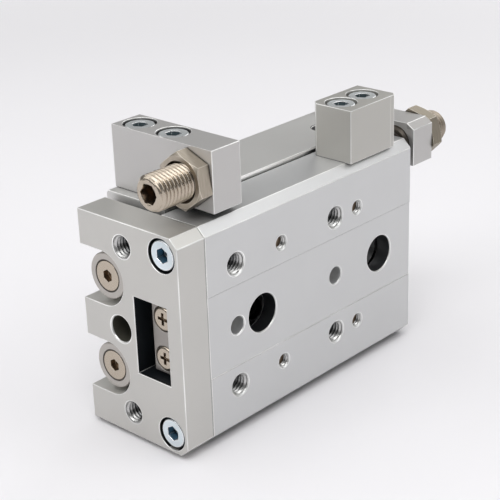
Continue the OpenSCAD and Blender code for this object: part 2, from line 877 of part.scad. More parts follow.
// spool held in the end plate's notch with a little play, so the rods align themselves
module floating_bushes() {
    at_frame()
        color([0.6, 0.58, 0.56])
            for (s = [-1, 1])
                difference() {
                    union() {
                        rod_along(bush_x + 0.2, bore_y, s * bore_z, bush_d, bush_disc_t - 0.2);
                        translate([bush_x, bore_y, s * bore_z])
                            rotate([0, 90, 0])
                                cylinder(d1 = bush_d - 0.4, d2 = bush_d, h = 0.2);
                        rod_along(bush_x + 1, bore_y, s * bore_z, slot_w - 0.8, plate_t - bush_x - 0.9);
                        rod_along(plate_t + 0.1, bore_y, s * bore_z, bush_d, bush_flange_t);
                    }
                    rod_along(bush_x - 1, bore_y, s * bore_z, m4_hole_d, 12);
                    rod_along(bush_x - 1, bore_y, s * bore_z, bush_head_d + 0.2, 3);
                }
}

module bush_screws() {
    at_frame()
        color([0.74, 0.7, 0.63])
            for (s = [-1, 1])
                translate([bush_x, bore_y, s * bore_z])
                    rotate([0, -90, 0])
                        difference() {
                            union() {
                                translate([0, 0, -1.9])
                                    cylinder(d = bush_head_d, h = 1.9);
                                translate([0, 0, -bush_screw_len])
                                    cylinder(d = m4_d, h = bush_screw_len - 1);
                            }
                            translate([0, 0, -1.4])
                                cylinder(d = 2.5 / cos(30), h = 3, $fn = 6);
                        }
}

// ---------- table ----------

module table_profile() {
    w = slide_w / 2;
    c = edge_chamfer;
    polygon([
        [0, -w + c], [0, -relief_half_w], [relief_depth, -relief_half_w], [relief_depth, relief_half_w],
        [0, relief_half_w], [0, w - c], [c, w], [table_h, w], [table_h, guide_seat_z], [guide_y, guide_seat_z],
        [guide_y, channel_half_w], [table_top_t, channel_half_w],
        [table_top_t, -channel_half_w], [guide_y, -channel_half_w], [guide_y, -guide_seat_z],
        [table_h, -guide_seat_z], [table_h, -w], [c, -w]
    ]);
}

module table() {
    at_frame()
        color([0.75, 0.76, 0.77])
            difference() {
                extrude_x(plate_t, table_len)
                    table_profile();
                for (k = [0, 1]) {
                    // mounting threads and dowel holes
                    for (s = [-1, 1])
                        face_thread(table_row_x + k * table_row_pitch, s * table_thread_z, m5_d, guide_y + 1, 0.25);
                    hole_in(table_row_x + k * table_row_pitch, -1, 0, dowel_d, table_top_t + 2);
                    sink_in(table_row_x + k * table_row_pitch, relief_depth, 0, dowel_d, dowel_d + 0.5, 0.25);
                    // threads of the guide block screws
                    for (s = [-1, 1])
                        face_thread(guide_screw_x + k * guide_screw_pitch, s * guide_hole_z(), small_d, guide_y + 1, 0.3);
                    // access holes
                    hole_in(access_x + k * access_pitch, -1, 0, access_d, table_top_t + 2);
                    sink_in(access_x + k * access_pitch, relief_depth, 0, access_d, access_d + 0.4, 0.2);
                    // threads of the stopper block's screws
                    translate([stopper_screw_xs()[k], stopper_screw_y, slide_w / 2 - 6])
                        cylinder(d = m4_hole_d, h = 8);
                }
                // threads of the end plate's screws
                for (s = [-1, 1])
                    rod_along(plate_t - 1, plate_screw_y, s * plate_screw_z, m4_hole_d, 11);
            }
}

function stopper_screw_xs() = [
    stopper_x + stopper_len / 2 - stopper_screw_pitch / 2 - 0.4,
    stopper_x + stopper_len / 2 + stopper_screw_pitch / 2 - 0.4
];

// outline of the end plate, drawn as [Y, Z]
module plate_profile() {
    w = slide_w / 2;
    c = edge_chamfer;
    polygon([[0, -w + c], [0, w - c], [c, w], [plate_h, w], [plate_h, -w], [c, -w]]);
}

module end_plate() {
    at_frame()
        color([0.75, 0.75, 0.74])
            difference() {
                extrude_x(0, plate_t)
                    plate_profile();
                for (s = [-1, 1]) {
                    // notch pocket with a round end, and the narrow slot behind it
                    rod_along(-1, bore_y, s * bore_z, notch_w, notch_depth + 1);
                    translate([-1, bore_y, s * bore_z - notch_w / 2])
                        cube([notch_depth + 1, plate_h, notch_w]);
                    rod_along(-1, bore_y, s * bore_z, slot_w, plate_t + 2);
                    translate([-1, bore_y, s * bore_z - slot_w / 2])
                        cube([plate_t + 2, plate_h, slot_w]);
                    // M5 threads with lead chamfers
                    rod_along(-1, plate_thread_y, s * plate_thread_z, m5_d, plate_t + 2);
                    translate([-0.01, plate_thread_y, s * plate_thread_z])
                        rotate([0, 90, 0])
                            cylinder(d1 = m5_d + 0.4, d2 = m5_d, h = 0.2);
                    // counterbored screw holes
                    rod_along(-1, plate_screw_y, s * plate_screw_z, m4_cbore_d + 0.2, m4_cbore_h + 1);
                    rod_along(-1, plate_screw_y, s * plate_screw_z, m4_hole_d, plate_t + 2);
                }
                // pin hole
                rod_along(-1, plate_pin_y, 0, plate_pin_d, plate_t + 2);
                translate([-0.01, plate_pin_y, 0])
                    rotate([0, 90, 0])
                        cylinder(d1 = plate_pin_d + 0.5, d2 = plate_pin_d, h = 0.25);
                // window over the rail's end
                translate([-1, window_y, -window_w / 2])
                    cube([plate_t + 2, window_h, window_w]);
            }
}

module end_plate_screws() {
    at_frame()
        color([0.72, 0.76, 0.8])
            for (s = [-1, 1])
                translate([0.3, plate_screw_y, s * plate_screw_z])
                    rotate([0, -90, 0])
                        cap_screw(plate_screw_len);
}

// ---------- stroke adjusters ----------

module front_block() {
    bx = front_block_x;
    cx = front_block_x + front_block_len / 2;
    at_frame()
        color([0.72, 0.72, 0.73])
            difference() {
                translate([bx, front_block_y, body_half_w])
                    cube([front_block_len, front_block_w, front_block_h]);
                // relief that keeps the overhang clear of the table
                translate([bx - 1, front_block_y - 1, body_half_w - 1])
                    cube([front_block_len + 2, body_y - front_block_y + 1, front_block_relief + 1]);
                rod_along(bx - 1, front_bolt_y, front_bolt_z, bolt_d + 2 * run_clear, front_block_len + 2);
                for (k = [0, 1])
                    translate([cx, front_screw_y + k * front_screw_pitch, body_half_w]) {
                        translate([0, 0, -1])
                            cylinder(d = m4_hole_d, h = front_block_h + 2);
                        translate([0, 0, front_block_h - m4_cbore_h])
                            cylinder(d = m4_cbore_d, h = m4_cbore_h + 1);
                    }
            }
}

module front_block_screws() {
    at_frame()
        color([0.72, 0.76, 0.8])
            for (k = [0, 1])
                translate([front_block_x + front_block_len / 2, front_screw_y + k * front_screw_pitch,
                           body_half_w + front_block_h - m4_cbore_h + m4_head_h])
                    cap_screw(front_block_h - m4_cbore_h + 7);
}

// stopper block outline, drawn as [X, Y]
module stopper_block() {
    x0 = stopper_x;
    x1 = stopper_x + stopper_len;
    y0 = stopper_y;
    y1 = stopper_y + stopper_w;
    at_frame()
        color([0.68, 0.67, 0.64])
            difference() {
                translate([0, 0, slide_w / 2])
                    linear_extrude(height = stopper_h)
                        polygon([[x0, y0], [x1 - 0.9, y0], [x1, y0 + 0.9], [x1, y1], [x0 + 1.2, y1],
                                 [x0, y1 - 1.2]]);
                for (x = stopper_screw_xs())
                    translate([x, stopper_screw_y, slide_w / 2]) {
                        translate([0, 0, -1])
                            cylinder(d = m4_hole_d, h = stopper_h + 2);
                        translate([0, 0, stopper_h - m4_cbore_h])
                            cylinder(d = m4_cbore_d, h = m4_cbore_h + 1);
                    }
            }
}

module stopper_screws() {
    at_frame()
        color([0.72, 0.76, 0.8])
            for (x = stopper_screw_xs())
                translate([x, stopper_screw_y, slide_w / 2 + stopper_h - m4_cbore_h + m4_head_h])
                    cap_screw(stopper_h - m4_cbore_h + 5.4);
}

module rear_bracket() {
    z1 = bracket_z + bracket_h;
    c = bracket_chamfer;
    at_frame()
        color([0.7, 0.7, 0.7])
            difference() {
                extrude_x(body_rear, bracket_t)
                    polygon([[bracket_y, bracket_z], [bracket_y + bracket_w, bracket_z],
                             [bracket_y + bracket_w, z1], [bracket_y + c, z1], [bracket_y, z1 - c * 0.65]]);
                rod_along(body_rear - 1, rear_bolt_y, rear_bolt_z, bolt_d + 2 * run_clear, bracket_t + 2);
                for (k = [0, 1])
                    translate([body_rear, bracket_screw_y + k * bracket_screw_pitch, bracket_screw_z()])
                        rotate([0, 90, 0]) {
                            translate([0, 0, -1])
                                cylinder(d = m4_hole_d, h = bracket_t + 2);
                            translate([0, 0, bracket_t - m4_cbore_h])
                                cylinder(d = m4_cbore_d, h = m4_cbore_h + 1);
                        }
            }
}

function bracket_screw_z() = bracket_z + bracket_h / 2 - 1.2;

module rear_bracket_screws() {
    at_frame()
        color([0.72, 0.76, 0.8])
            for (k = [0, 1])
                translate([body_rear + bracket_t - m4_cbore_h + m4_head_h,
                           bracket_screw_y + k * bracket_screw_pitch, bracket_screw_z()])
                    rotate([0, 90, 0])
                        cap_screw(bracket_t - m4_cbore_h + 4.5);
}

module front_lock_nut() {
    at_frame()
        color([0.74, 0.7, 0.62])
            lock_nut(front_block_x - nut_t, front_bolt_y, front_bolt_z, front_nut_turn, -1);
}

module rear_lock_nut() {
    at_frame()
        color([0.74, 0.7, 0.62])
            lock_nut(body_rear + bracket_t, rear_bolt_y, rear_bolt_z, rear_nut_turn, 1);
}

// adjuster bolt along X: hex socket at the outer end, bumper bore at the inner end
module adjuster_bolt(x, len, y, z, bumper_side) {
    c = 0.6 * bolt_pitch;
    translate([x, y, z])
        rotate([0, 90, 0])
            difference() {
                union() {
                    translate([0, 0, c])
                        cylinder(d = bolt_d, h = len - 2 * c);
                    cylinder(d1 = bolt_d - 2 * c, d2 = bolt_d, h = c);
                    translate([0, 0, len - c])
                        cylinder(d1 = bolt_d, d2 = bolt_d - 2 * c, h = c);
                }
                translate([0, 0, bumper_side > 0 ? -1 : len - 4])
                    rotate([0, 0, 30])
                        cylinder(d = socket_af / cos(30), h = 5, $fn = 6);
                translate([0, 0, bumper_side > 0 ? len - bumper_in : -1])
                    cylinder(d = front_bumper_d, h = bumper_in + 1);
            }
}

module front_bolt() {
    at_frame()
        color([0.74, 0.7, 0.62])
            adjuster_bolt(front_bolt_x, front_stop_x - bumper_out - front_bolt_x, front_bolt_y, front_bolt_z, 1);
}

module front_bumper() {
    at_frame()
        color([0.15, 0.14, 0.13])
            rod_along(front_stop_x - bumper_out - bumper_in + 0.1, front_bolt_y, front_bolt_z,
                      front_bumper_d - 2 * run_clear, bumper_out + bumper_in - 0.1);
}

module rear_bolt() {
    at_frame()
        color([0.74, 0.7, 0.62])
            adjuster_bolt(rear_stop_x + bumper_out, rear_bolt_len, rear_bolt_y, rear_bolt_z, -1);
}

module rear_bumper() {
    at_frame()
        color([0.15, 0.14, 0.13])
            rod_along(rear_stop_x, rear_bolt_y, rear_bolt_z, front_bumper_d - 2 * run_clear,
                      bumper_out + bumper_in - 0.1);
}

body();
guide_rail();
rail_screws();
front_rail_plate();
front_plate_screws();
rear_rail_plate();
rear_plate_screws();
rod_covers();
rod_seals();
cover_o_rings();
front_rings();
head_caps();
cap_o_rings();
rear_rings();
port_plug();
front_block();
front_block_screws();
front_lock_nut();
rear_bracket();
rear_bracket_screws();
rear_lock_nut();
table();
end_plate();
end_plate_screws();
upper_guide_block();
lower_guide_block();
guide_screws();
stopper_block();
stopper_screws();
floating_bushes();
bush_screws();
piston_rods();
pistons();
piston_seals();
piston_magnets();
wear_rings();
piston_bumpers();
upper_cage();
upper_rollers();
lower_cage();
lower_rollers();
front_bumper();
front_bolt();
rear_bumper();
rear_bolt();
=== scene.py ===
"""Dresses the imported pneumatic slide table: finishes, broken edges, threads, adjuster bolts and a studio.

Sizes here are in millimetres. They become metres where a mesh, a light or the camera is made.
"""

import json
import math

import bmesh
import bpy
from mathutils import Matrix, Vector


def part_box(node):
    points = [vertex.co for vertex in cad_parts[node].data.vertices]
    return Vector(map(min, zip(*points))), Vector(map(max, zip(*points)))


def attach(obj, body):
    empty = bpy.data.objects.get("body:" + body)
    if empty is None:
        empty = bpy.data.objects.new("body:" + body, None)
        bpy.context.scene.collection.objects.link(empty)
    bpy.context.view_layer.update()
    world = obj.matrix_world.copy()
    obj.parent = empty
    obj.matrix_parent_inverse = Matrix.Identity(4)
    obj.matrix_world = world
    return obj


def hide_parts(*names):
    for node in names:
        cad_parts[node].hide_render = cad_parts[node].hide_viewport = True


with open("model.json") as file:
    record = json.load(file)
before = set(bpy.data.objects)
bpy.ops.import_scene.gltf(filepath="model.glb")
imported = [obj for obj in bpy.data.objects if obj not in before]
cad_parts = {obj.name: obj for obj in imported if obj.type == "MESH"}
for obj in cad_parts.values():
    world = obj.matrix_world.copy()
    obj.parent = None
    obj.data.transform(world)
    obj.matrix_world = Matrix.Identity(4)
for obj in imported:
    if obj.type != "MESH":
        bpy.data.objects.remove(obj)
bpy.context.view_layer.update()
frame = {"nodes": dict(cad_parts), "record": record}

MM = 0.001
NODES = frame["nodes"]

# axes of turned details: (direction of the axis, first cross direction, second cross direction)
ALONG_X = (Vector((1, 0, 0)), Vector((0, 1, 0)), Vector((0, 0, 1)))
BACK_X = (Vector((-1, 0, 0)), Vector((0, 0, 1)), Vector((0, 1, 0)))
ALONG_Y = (Vector((0, 1, 0)), Vector((0, 0, 1)), Vector((1, 0, 0)))
BACK_Y = (Vector((0, -1, 0)), Vector((1, 0, 0)), Vector((0, 0, 1)))
ALONG_Z = (Vector((0, 0, 1)), Vector((1, 0, 0)), Vector((0, 1, 0)))


def lowest(node):
    """Least x, y and z of a node's box, in millimetres."""
    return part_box(node)[0] / MM


def highest(node):
    """Greatest x, y and z of a node's box, in millimetres."""
    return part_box(node)[1] / MM


# ---------- node groups shared by the finishes ----------

FLOAT = "NodeSocketFloat"
VECTOR = "NodeSocketVector"

# how fast the edge mask, used for wear and for painted highlight, rises as the surface turns
EDGE_MASK_GAIN = 8.0
# scale of the noise, per millimetre
BREAKUP_SCALE = (0.9, 0.9, 0.9)
CLOUD_SCALE = (0.11, 0.11, 0.11)


def new_group(name, inputs, outputs):
    """An empty shader group with named sockets, and its input and output nodes."""
    group = bpy.data.node_groups.new(name, "ShaderNodeTree")
    for label, kind, value in inputs:
        group.interface.new_socket(label, in_out="INPUT", socket_type=kind).default_value = value
    for label, kind in outputs:
        group.interface.new_socket(label, in_out="OUTPUT", socket_type=kind)
    start = group.nodes.new("NodeGroupInput")
    end = group.nodes.new("NodeGroupOutput")
    return group, start, end


def feed(tree, sockets, values):
    """Gives each socket its number or vector, or a link from another node's output."""
    for socket, value in zip(sockets, values):
        if isinstance(value, bpy.types.NodeSocket):
            tree.links.new(value, socket)
        else:
            socket.default_value = value


def math_node(tree, operation, *values, clamp=False):
    """Result of a sum on numbers or sockets."""
    node = tree.nodes.new("ShaderNodeMath")
    node.operation = operation
    node.use_clamp = clamp
    feed(tree, node.inputs, values)
    return node.outputs[0]


def vector_node(tree, operation, *values):
    """Node for a sum on vectors, each given as a tuple or a socket."""
    node = tree.nodes.new("ShaderNodeVectorMath")
    node.operation = operation
    feed(tree, node.inputs, values)
    return node


def noise_node(tree, vector, scale, detail=2.0, roughness=0.5):
    """Noise from 0 to 1 with its own scale along X, Y and Z, given as a tuple or a socket."""
    node = tree.nodes.new("ShaderNodeTexNoise")
    node.inputs["Scale"].default_value = 1.0
    node.inputs["Detail"].default_value = detail
    node.inputs["Roughness"].default_value = roughness
    scaled = vector_node(tree, "MULTIPLY", vector, scale)
    tree.links.new(scaled.outputs[0], node.inputs["Vector"])
    return node.outputs["Fac"]


def position(tree):
    """Place on the object in millimetres, fixed to the piece."""
    coordinates = tree.nodes.new("ShaderNodeTexCoord")
    scaled = vector_node(tree, "SCALE", coordinates.outputs["Object"])
    scaled.inputs["Scale"].default_value = 1 / MM
    return scaled.outputs[0]


def edge_wear_and_highlight_group():
    """Mask of edges that are lightened as wear and as painted highlight: 1 where the surface turns within the
    given width, broken up by fine noise.
    """
    group, start, end = new_group(
        "edge_wear_and_highlight",
        [("Width", FLOAT, 0.25), ("Breakup", FLOAT, 0.4)],
        [("Mask", FLOAT)],
    )
    bevel = group.nodes.new("ShaderNodeBevel")
    bevel.samples = 4
    width = math_node(group, "MULTIPLY", start.outputs["Width"], MM)
    group.links.new(width, bevel.inputs["Radius"])
    geometry = group.nodes.new("ShaderNodeNewGeometry")
    turned = vector_node(group, "DOT_PRODUCT", bevel.outputs["Normal"], geometry.outputs["True Normal"])
    edge = math_node(group, "SUBTRACT", 1.0, turned.outputs["Value"])
    edge = math_node(group, "MULTIPLY", edge, EDGE_MASK_GAIN, clamp=True)
    noise = noise_node(group, position(group), BREAKUP_SCALE, 3.0, 0.6)
    broken = math_node(group, "SUBTRACT", noise, 0.5)
    broken = math_node(group, "MULTIPLY", broken, start.outputs["Breakup"])
    broken = math_node(group, "MULTIPLY_ADD", broken, 2.0, 1.0)
    group.links.new(math_node(group, "MULTIPLY", edge, broken, clamp=True), end.inputs["Mask"])
    return group


def painted_shade_group(name, own_shape):
    """Mask of painted shade, strongest where hollows and gaps are shut in by nearby surfaces: 1 deep inside,
    0 outside.

    With own_shape only the piece's own sockets and grooves count; otherwise gaps between pieces do as well.
    """
    group, start, end = new_group(
        name,
        [("Reach", FLOAT, 2.0), ("Open", FLOAT, 0.85), ("Shut", FLOAT, 0.35)],
        [("Mask", FLOAT)],
    )
    around = group.nodes.new("ShaderNodeAmbientOcclusion")
    around.samples = 8
    around.only_local = own_shape
    group.links.new(math_node(group, "MULTIPLY", start.outputs["Reach"], MM), around.inputs["Distance"])
    span = group.nodes.new("ShaderNodeMapRange")
    span.interpolation_type = "SMOOTHSTEP"
    group.links.new(around.outputs["AO"], span.inputs["Value"])
    group.links.new(start.outputs["Open"], span.inputs["From Min"])
    group.links.new(start.outputs["Shut"], span.inputs["From Max"])
    group.links.new(span.outputs["Result"], end.inputs["Mask"])
    return group


def satin_grain_group():
    """Fine matt grain of an etched and anodised or plated skin, with faint cloudy tone."""
    group, start, end = new_group(
        "satin_grain",
        [("Fineness", FLOAT, 9.0), ("Cloud", FLOAT, 0.5)],
        [("Grain", FLOAT), ("Tone", FLOAT)],
    )
    place = position(group)
    fine = group.nodes.new("ShaderNodeTexNoise")
    fine.inputs["Detail"].default_value = 3.0
    fine.inputs["Roughness"].default_value = 0.65
    group.links.new(start.outputs["Fineness"], fine.inputs["Scale"])
    group.links.new(place, fine.inputs["Vector"])
    group.links.new(fine.outputs["Fac"], end.inputs["Grain"])
    cloud = noise_node(group, place, CLOUD_SCALE)
    cloud = math_node(group, "SUBTRACT", cloud, 0.5)
    cloud = math_node(group, "MULTIPLY_ADD", cloud, start.outputs["Cloud"], 0.5)
    group.links.new(cloud, end.inputs["Tone"])
    return group


def drawn_lines_group():
    """Faint lines left along one direction by drawing, milling or grinding."""
    group, start, end = new_group(
        "drawn_lines",
        [("Stretch", VECTOR, (0.05, 6.0, 6.0))],
        [("Lines", FLOAT)],
    )
    group.links.new(noise_node(group, position(group), start.outputs["Stretch"]), end.inputs["Lines"])
    return group


def turning_marks_group():
    """Lathe rings around an axis along X, and the distance from it.

    Both of a pair, at plus and minus the centre's z, get the same rings.
    """
    group, start, end = new_group(
        "turning_marks",
        [("Centre", VECTOR, (0.0, 0.0, 0.0)), ("Pitch", FLOAT, 4.0)],
        [("Marks", FLOAT), ("Radius", FLOAT)],
    )
    mirror = vector_node(group, "ABSOLUTE", position(group))
    across = vector_node(group, "MULTIPLY", position(group), (0.0, 1.0, 0.0))
    up = vector_node(group, "MULTIPLY", mirror.outputs[0], (0.0, 0.0, 1.0))
    place = vector_node(group, "ADD", across.outputs[0], up.outputs[0])
    apart = vector_node(group, "SUBTRACT", place.outputs[0], start.outputs["Centre"])
    radius = vector_node(group, "LENGTH", apart.outputs[0]).outputs["Value"]
    group.links.new(radius, end.inputs["Radius"])
    noise = group.nodes.new("ShaderNodeTexNoise")
    noise.noise_dimensions = "1D"
    noise.inputs["Scale"].default_value = 1.0
    noise.inputs["Detail"].default_value = 3.0
    group.links.new(math_node(group, "MULTIPLY", radius, start.outputs["Pitch"]), noise.inputs["W"])
    group.links.new(noise.outputs["Fac"], end.inputs["Marks"])
    return group


def pocket_group():
    """Mask of a box-shaped region of the piece: 1 inside, 0 outside."""
    group, start, end = new_group(
        "pocket",
        [("Centre", VECTOR, (0.0, 0.0, 0.0)), ("Half", VECTOR, (1.0, 1.0, 1.0))],
        [("Mask", FLOAT)],
    )
    apart = vector_node(group, "SUBTRACT", position(group), start.outputs["Centre"])
    apart = vector_node(group, "ABSOLUTE", apart.outputs[0])
    beyond = vector_node(group, "SUBTRACT", apart.outputs[0], start.outputs["Half"])
    parts = group.nodes.new("ShaderNodeSeparateXYZ")
    group.links.new(beyond.outputs[0], parts.inputs[0])
    most = math_node(group, "MAXIMUM", parts.outputs["X"], parts.outputs["Y"])
    most = math_node(group, "MAXIMUM", most, parts.outputs["Z"])
    group.links.new(math_node(group, "LESS_THAN", most, 0.0), end.inputs["Mask"])
    return group


GROUPS = {
    "edge": edge_wear_and_highlight_group(),
    "recess": painted_shade_group("painted_recess_shade", own_shape=True),
    "contact": painted_shade_group("painted_contact_shade", own_shape=False),
    "grain": satin_grain_group(),
    "lines": drawn_lines_group(),
    "turned": turning_marks_group(),
    "pocket": pocket_group(),
}


def place_group(tree, key, **values):
    """One use of a shared group, with its inputs set by label."""
    node = tree.nodes.new("ShaderNodeGroup")
    node.node_tree = GROUPS[key]
    for label, value in values.items():
        node.inputs[label].default_value = value
    return node


def mix_colour(tree, factor, a, b, blend="MIX"):
    """Blend of two colours, each given as a tuple or a socket."""
    node = tree.nodes.new("ShaderNodeMix")
    node.data_type = "RGBA"
    node.blend_type = blend
    a, b = ((*value, 1.0) if isinstance(value, tuple) else value for value in (a, b))
    # a mix node keeps its factor and its two colours in these places
    feed(tree, (node.inputs[0], node.inputs[6], node.inputs[7]), (factor, a, b))
    return node.outputs[2]


# ---------- finishes ----------

# range of roughness that the grain, and drawn or turned marks, bring with them
GRAIN_GLOSS = 0.06
MARKS_GLOSS = 0.08


def finish_material(name, colour, metallic, roughness, grain, edge=None, cloud=(0.5, 0.04),
                    lines=None, turned=None, ring=None, recess=None, contact=None, pockets=()):
    """One finish, with the marks that its making and handling leave on it, and with shade and highlights
    painted into its colour.

    grain: (fineness, height in mm)
    edge: (colour, width in mm, strength), a lighter colour on edges, as wear and as painted highlight
    cloud: (contrast, range of tone)
    lines: (stretch along X, Y and Z, height in mm, range of tone)
    turned: (centre, height in mm, range of tone)
    ring: (centre, inner radius, outer radius, colour), a dark ring of painted shade around an axis along X
    recess, contact: (reach in mm, open, shut, colour, strength), painted shade in its own hollows and in gaps
    to others
    pockets: (centre, half size, colour, strength) of each box-shaped region of painted shade, a few of
    painted highlight
    """
    material = bpy.data.materials.new(name)
    material.use_nodes = True
    tree = material.node_tree
    shader = next(n for n in tree.nodes if n.type == "BSDF_PRINCIPLED")
    shader.inputs["Metallic"].default_value = metallic
    skin = place_group(tree, "grain", Fineness=grain[0], Cloud=cloud[0])
    shift = math_node(tree, "SUBTRACT", skin.outputs["Tone"], 0.5)
    tone = math_node(tree, "MULTIPLY_ADD", shift, 2 * cloud[1], 1.0)
    height = math_node(tree, "MULTIPLY", skin.outputs["Grain"], grain[1])
    rough = math_node(tree, "MULTIPLY_ADD", skin.outputs["Grain"], GRAIN_GLOSS, roughness - GRAIN_GLOSS / 2)
    mark_kinds = (("lines", lines, "Stretch", "Lines"), ("turned", turned, "Centre", "Marks"))
    for key, spec, label, output in mark_kinds:
        if not spec:
            continue
        marks = place_group(tree, key, **{label: spec[0]}).outputs[output]
        height = math_node(tree, "MULTIPLY_ADD", marks, spec[1], height)
        swing = math_node(tree, "SUBTRACT", marks, 0.5)
        tone = math_node(tree, "MULTIPLY_ADD", swing, spec[2], tone)
        rough = math_node(tree, "MULTIPLY_ADD", swing, MARKS_GLOSS, rough)
    colour_out = mix_colour(tree, 1.0, colour, tone, "MULTIPLY")
    # edges take a lighter colour, as wear and as painted highlight
    if edge:
        edge_mask = place_group(tree, "edge", Width=edge[1])
        amount = math_node(tree, "MULTIPLY", edge_mask.outputs["Mask"], edge[2], clamp=True)
        colour_out = mix_colour(tree, amount, colour_out, edge[0])
    # painted shade in the piece's hollows and in gaps to other pieces
    for key, shade_spec in (("recess", recess), ("contact", contact)):
        if not shade_spec:
            continue
        mask = place_group(tree, key, Reach=shade_spec[0], Open=shade_spec[1], Shut=shade_spec[2]).outputs["Mask"]
        colour_out = mix_colour(tree, math_node(tree, "MULTIPLY", mask, shade_spec[4]), colour_out, shade_spec[3])
    # painted shade: a dark ring around the axis
    if ring:
        radius = place_group(tree, "turned", Centre=ring[0]).outputs["Radius"]
        outside = math_node(tree, "GREATER_THAN", radius, ring[1])
        inside = math_node(tree, "LESS_THAN", radius, ring[2])
        colour_out = mix_colour(tree, math_node(tree, "MULTIPLY", outside, inside), colour_out, ring[3])
    # painted shade in boxed regions, and painted highlight in a few
    for centre, half, painted_tone, strength in pockets:
        region = place_group(tree, "pocket", Centre=centre, Half=half).outputs["Mask"]
        colour_out = mix_colour(tree, math_node(tree, "MULTIPLY", region, strength), colour_out, painted_tone)
    tree.links.new(colour_out, shader.inputs["Base Color"])
    tree.links.new(math_node(tree, "MULTIPLY", rough, 1.0, clamp=True), shader.inputs["Roughness"])
    bump = tree.nodes.new("ShaderNodeBump")
    bump.inputs["Strength"].default_value = 1.0
    bump.inputs["Distance"].default_value = MM
    tree.links.new(height, bump.inputs["Height"])
    tree.links.new(bump.outputs["Normal"], shader.inputs["Normal"])
    return material


# colours of painted shade, in hollows, gaps and dark regions
PAINTED_SHADE_BLACK = (0.016, 0.018, 0.022)
PAINTED_SHADE_BROWN = (0.19, 0.135, 0.09)
PAINTED_SHADE_BLUE = (0.11, 0.29, 0.42)
PAINTED_SHADE_GREY_BLUE = (0.13, 0.2, 0.23)
PAINTED_SHADE_DARK_BROWN = (0.05, 0.04, 0.03)

# grain of a skin: (fineness, height in mm)
SATIN_GRAIN = (9.0, 0.006)
FINE_GRAIN = (9.0, 0.004)
PLATED_GRAIN = (9.0, 0.002)
DULL_GRAIN = (9.0, 0.01)

MILLED_LINES = ((3.0, 3.0, 0.05), 0.003, 0.04)

# painted shade in hollows and in gaps: (reach in mm, open, shut, colour, strength)
BLOCK_HOLLOWS = (4.0, 0.7, 0.3, PAINTED_SHADE_BLACK, 0.7)
TIGHT_GAPS = (3.0, 0.52, 0.25, PAINTED_SHADE_BLACK, 0.95)
SCREW_GAPS = (1.3, 0.82, 0.55, PAINTED_SHADE_BLACK, 0.9)

# regions of painted shade, and two of painted highlight: (centre, half size, colour, strength)
FRONT_ACCESS_HOLE = ((-16.5, -24.5, 0.0), (4.9, 6.0, 4.9), PAINTED_SHADE_BLACK, 0.97)
REAR_ACCESS_HOLE = ((24.5, -24.5, 0.0), (4.9, 6.0, 4.9), PAINTED_SHADE_BLACK, 0.93)
# painted highlight: a light band on the table's front end, beside the end plate
TABLE_FRONT_EDGE = ((-33.2, -25.0, 0.0), (0.16, 7.0, 26.0), (0.92, 0.92, 0.9), 0.75)
# painted shade along the end plate's edge, in the seam with the table
PLATE_REAR_EDGE = ((-33.36, -25.0, 0.0), (0.17, 7.0, 26.0), PAINTED_SHADE_BLACK, 0.6)
PLATE_WINDOW = ((-37.0, -21.8, 0.0), (4.1, 4.95, 9.1), (0.012, 0.017, 0.024), 0.98)
PLATE_PIN_HOLE = ((-37.0, -12.35, 0.0), (4.1, 3.1, 3.1), (0.12, 0.115, 0.085), 0.9)
PLATE_SCREW_SEATS = tuple(((-37.0, -25.525, z), (4.1, 3.375, 3.775), PAINTED_SHADE_BLACK, 0.97) for z in (20.325, -20.325))
BODY_COUNTERBORE = ((-16.5, -9.3, 0.0), (5.0, 9.0, 5.0), PAINTED_SHADE_BLACK, 0.95)
RAIL_COUNTERBORE = ((-16.5, -25.0, 0.0), (5.0, 1.6, 5.0), PAINTED_SHADE_BLACK, 0.9)
PLUGGED_PORT_RIM = ((28.96, -10.1, 25.7), (2.9, 2.9, 0.5), (0.12, 0.12, 0.12), 1.0)
# painted highlight: a light vertical line on the stopper block's side
STOPPER_EDGE = ((28.96, -30.4, 31.0), (0.1, 0.4, 7.0), (0.72, 0.71, 0.68), 0.5)
# painted shade on a facet of the rear bracket
BRACKET_FACET = ((41.5, -29.6, 27.55), (4.5, 1.03, 0.68), (0.38, 0.37, 0.36), 0.9)
# painted shade on the rear bolt where it sits in the bracket
REAR_BOLT_IN_BRACKET = ((41.0, -25.2, 23.0), (4.9, 5.0, 5.0), (0.05, 0.045, 0.04), 0.85)
# painted shade on the lower half of the body's long chamfer, where it dips into the gap beside the table
LEDGE_GAP = ((2.5, -18.33, 25.17), (34.5, 0.31, 0.31), PAINTED_SHADE_BLACK, 0.75)

# where the upper bush's axis crosses the plane x = 0
BUSH_CENTRE = (0.0, -7.8, 10.65)

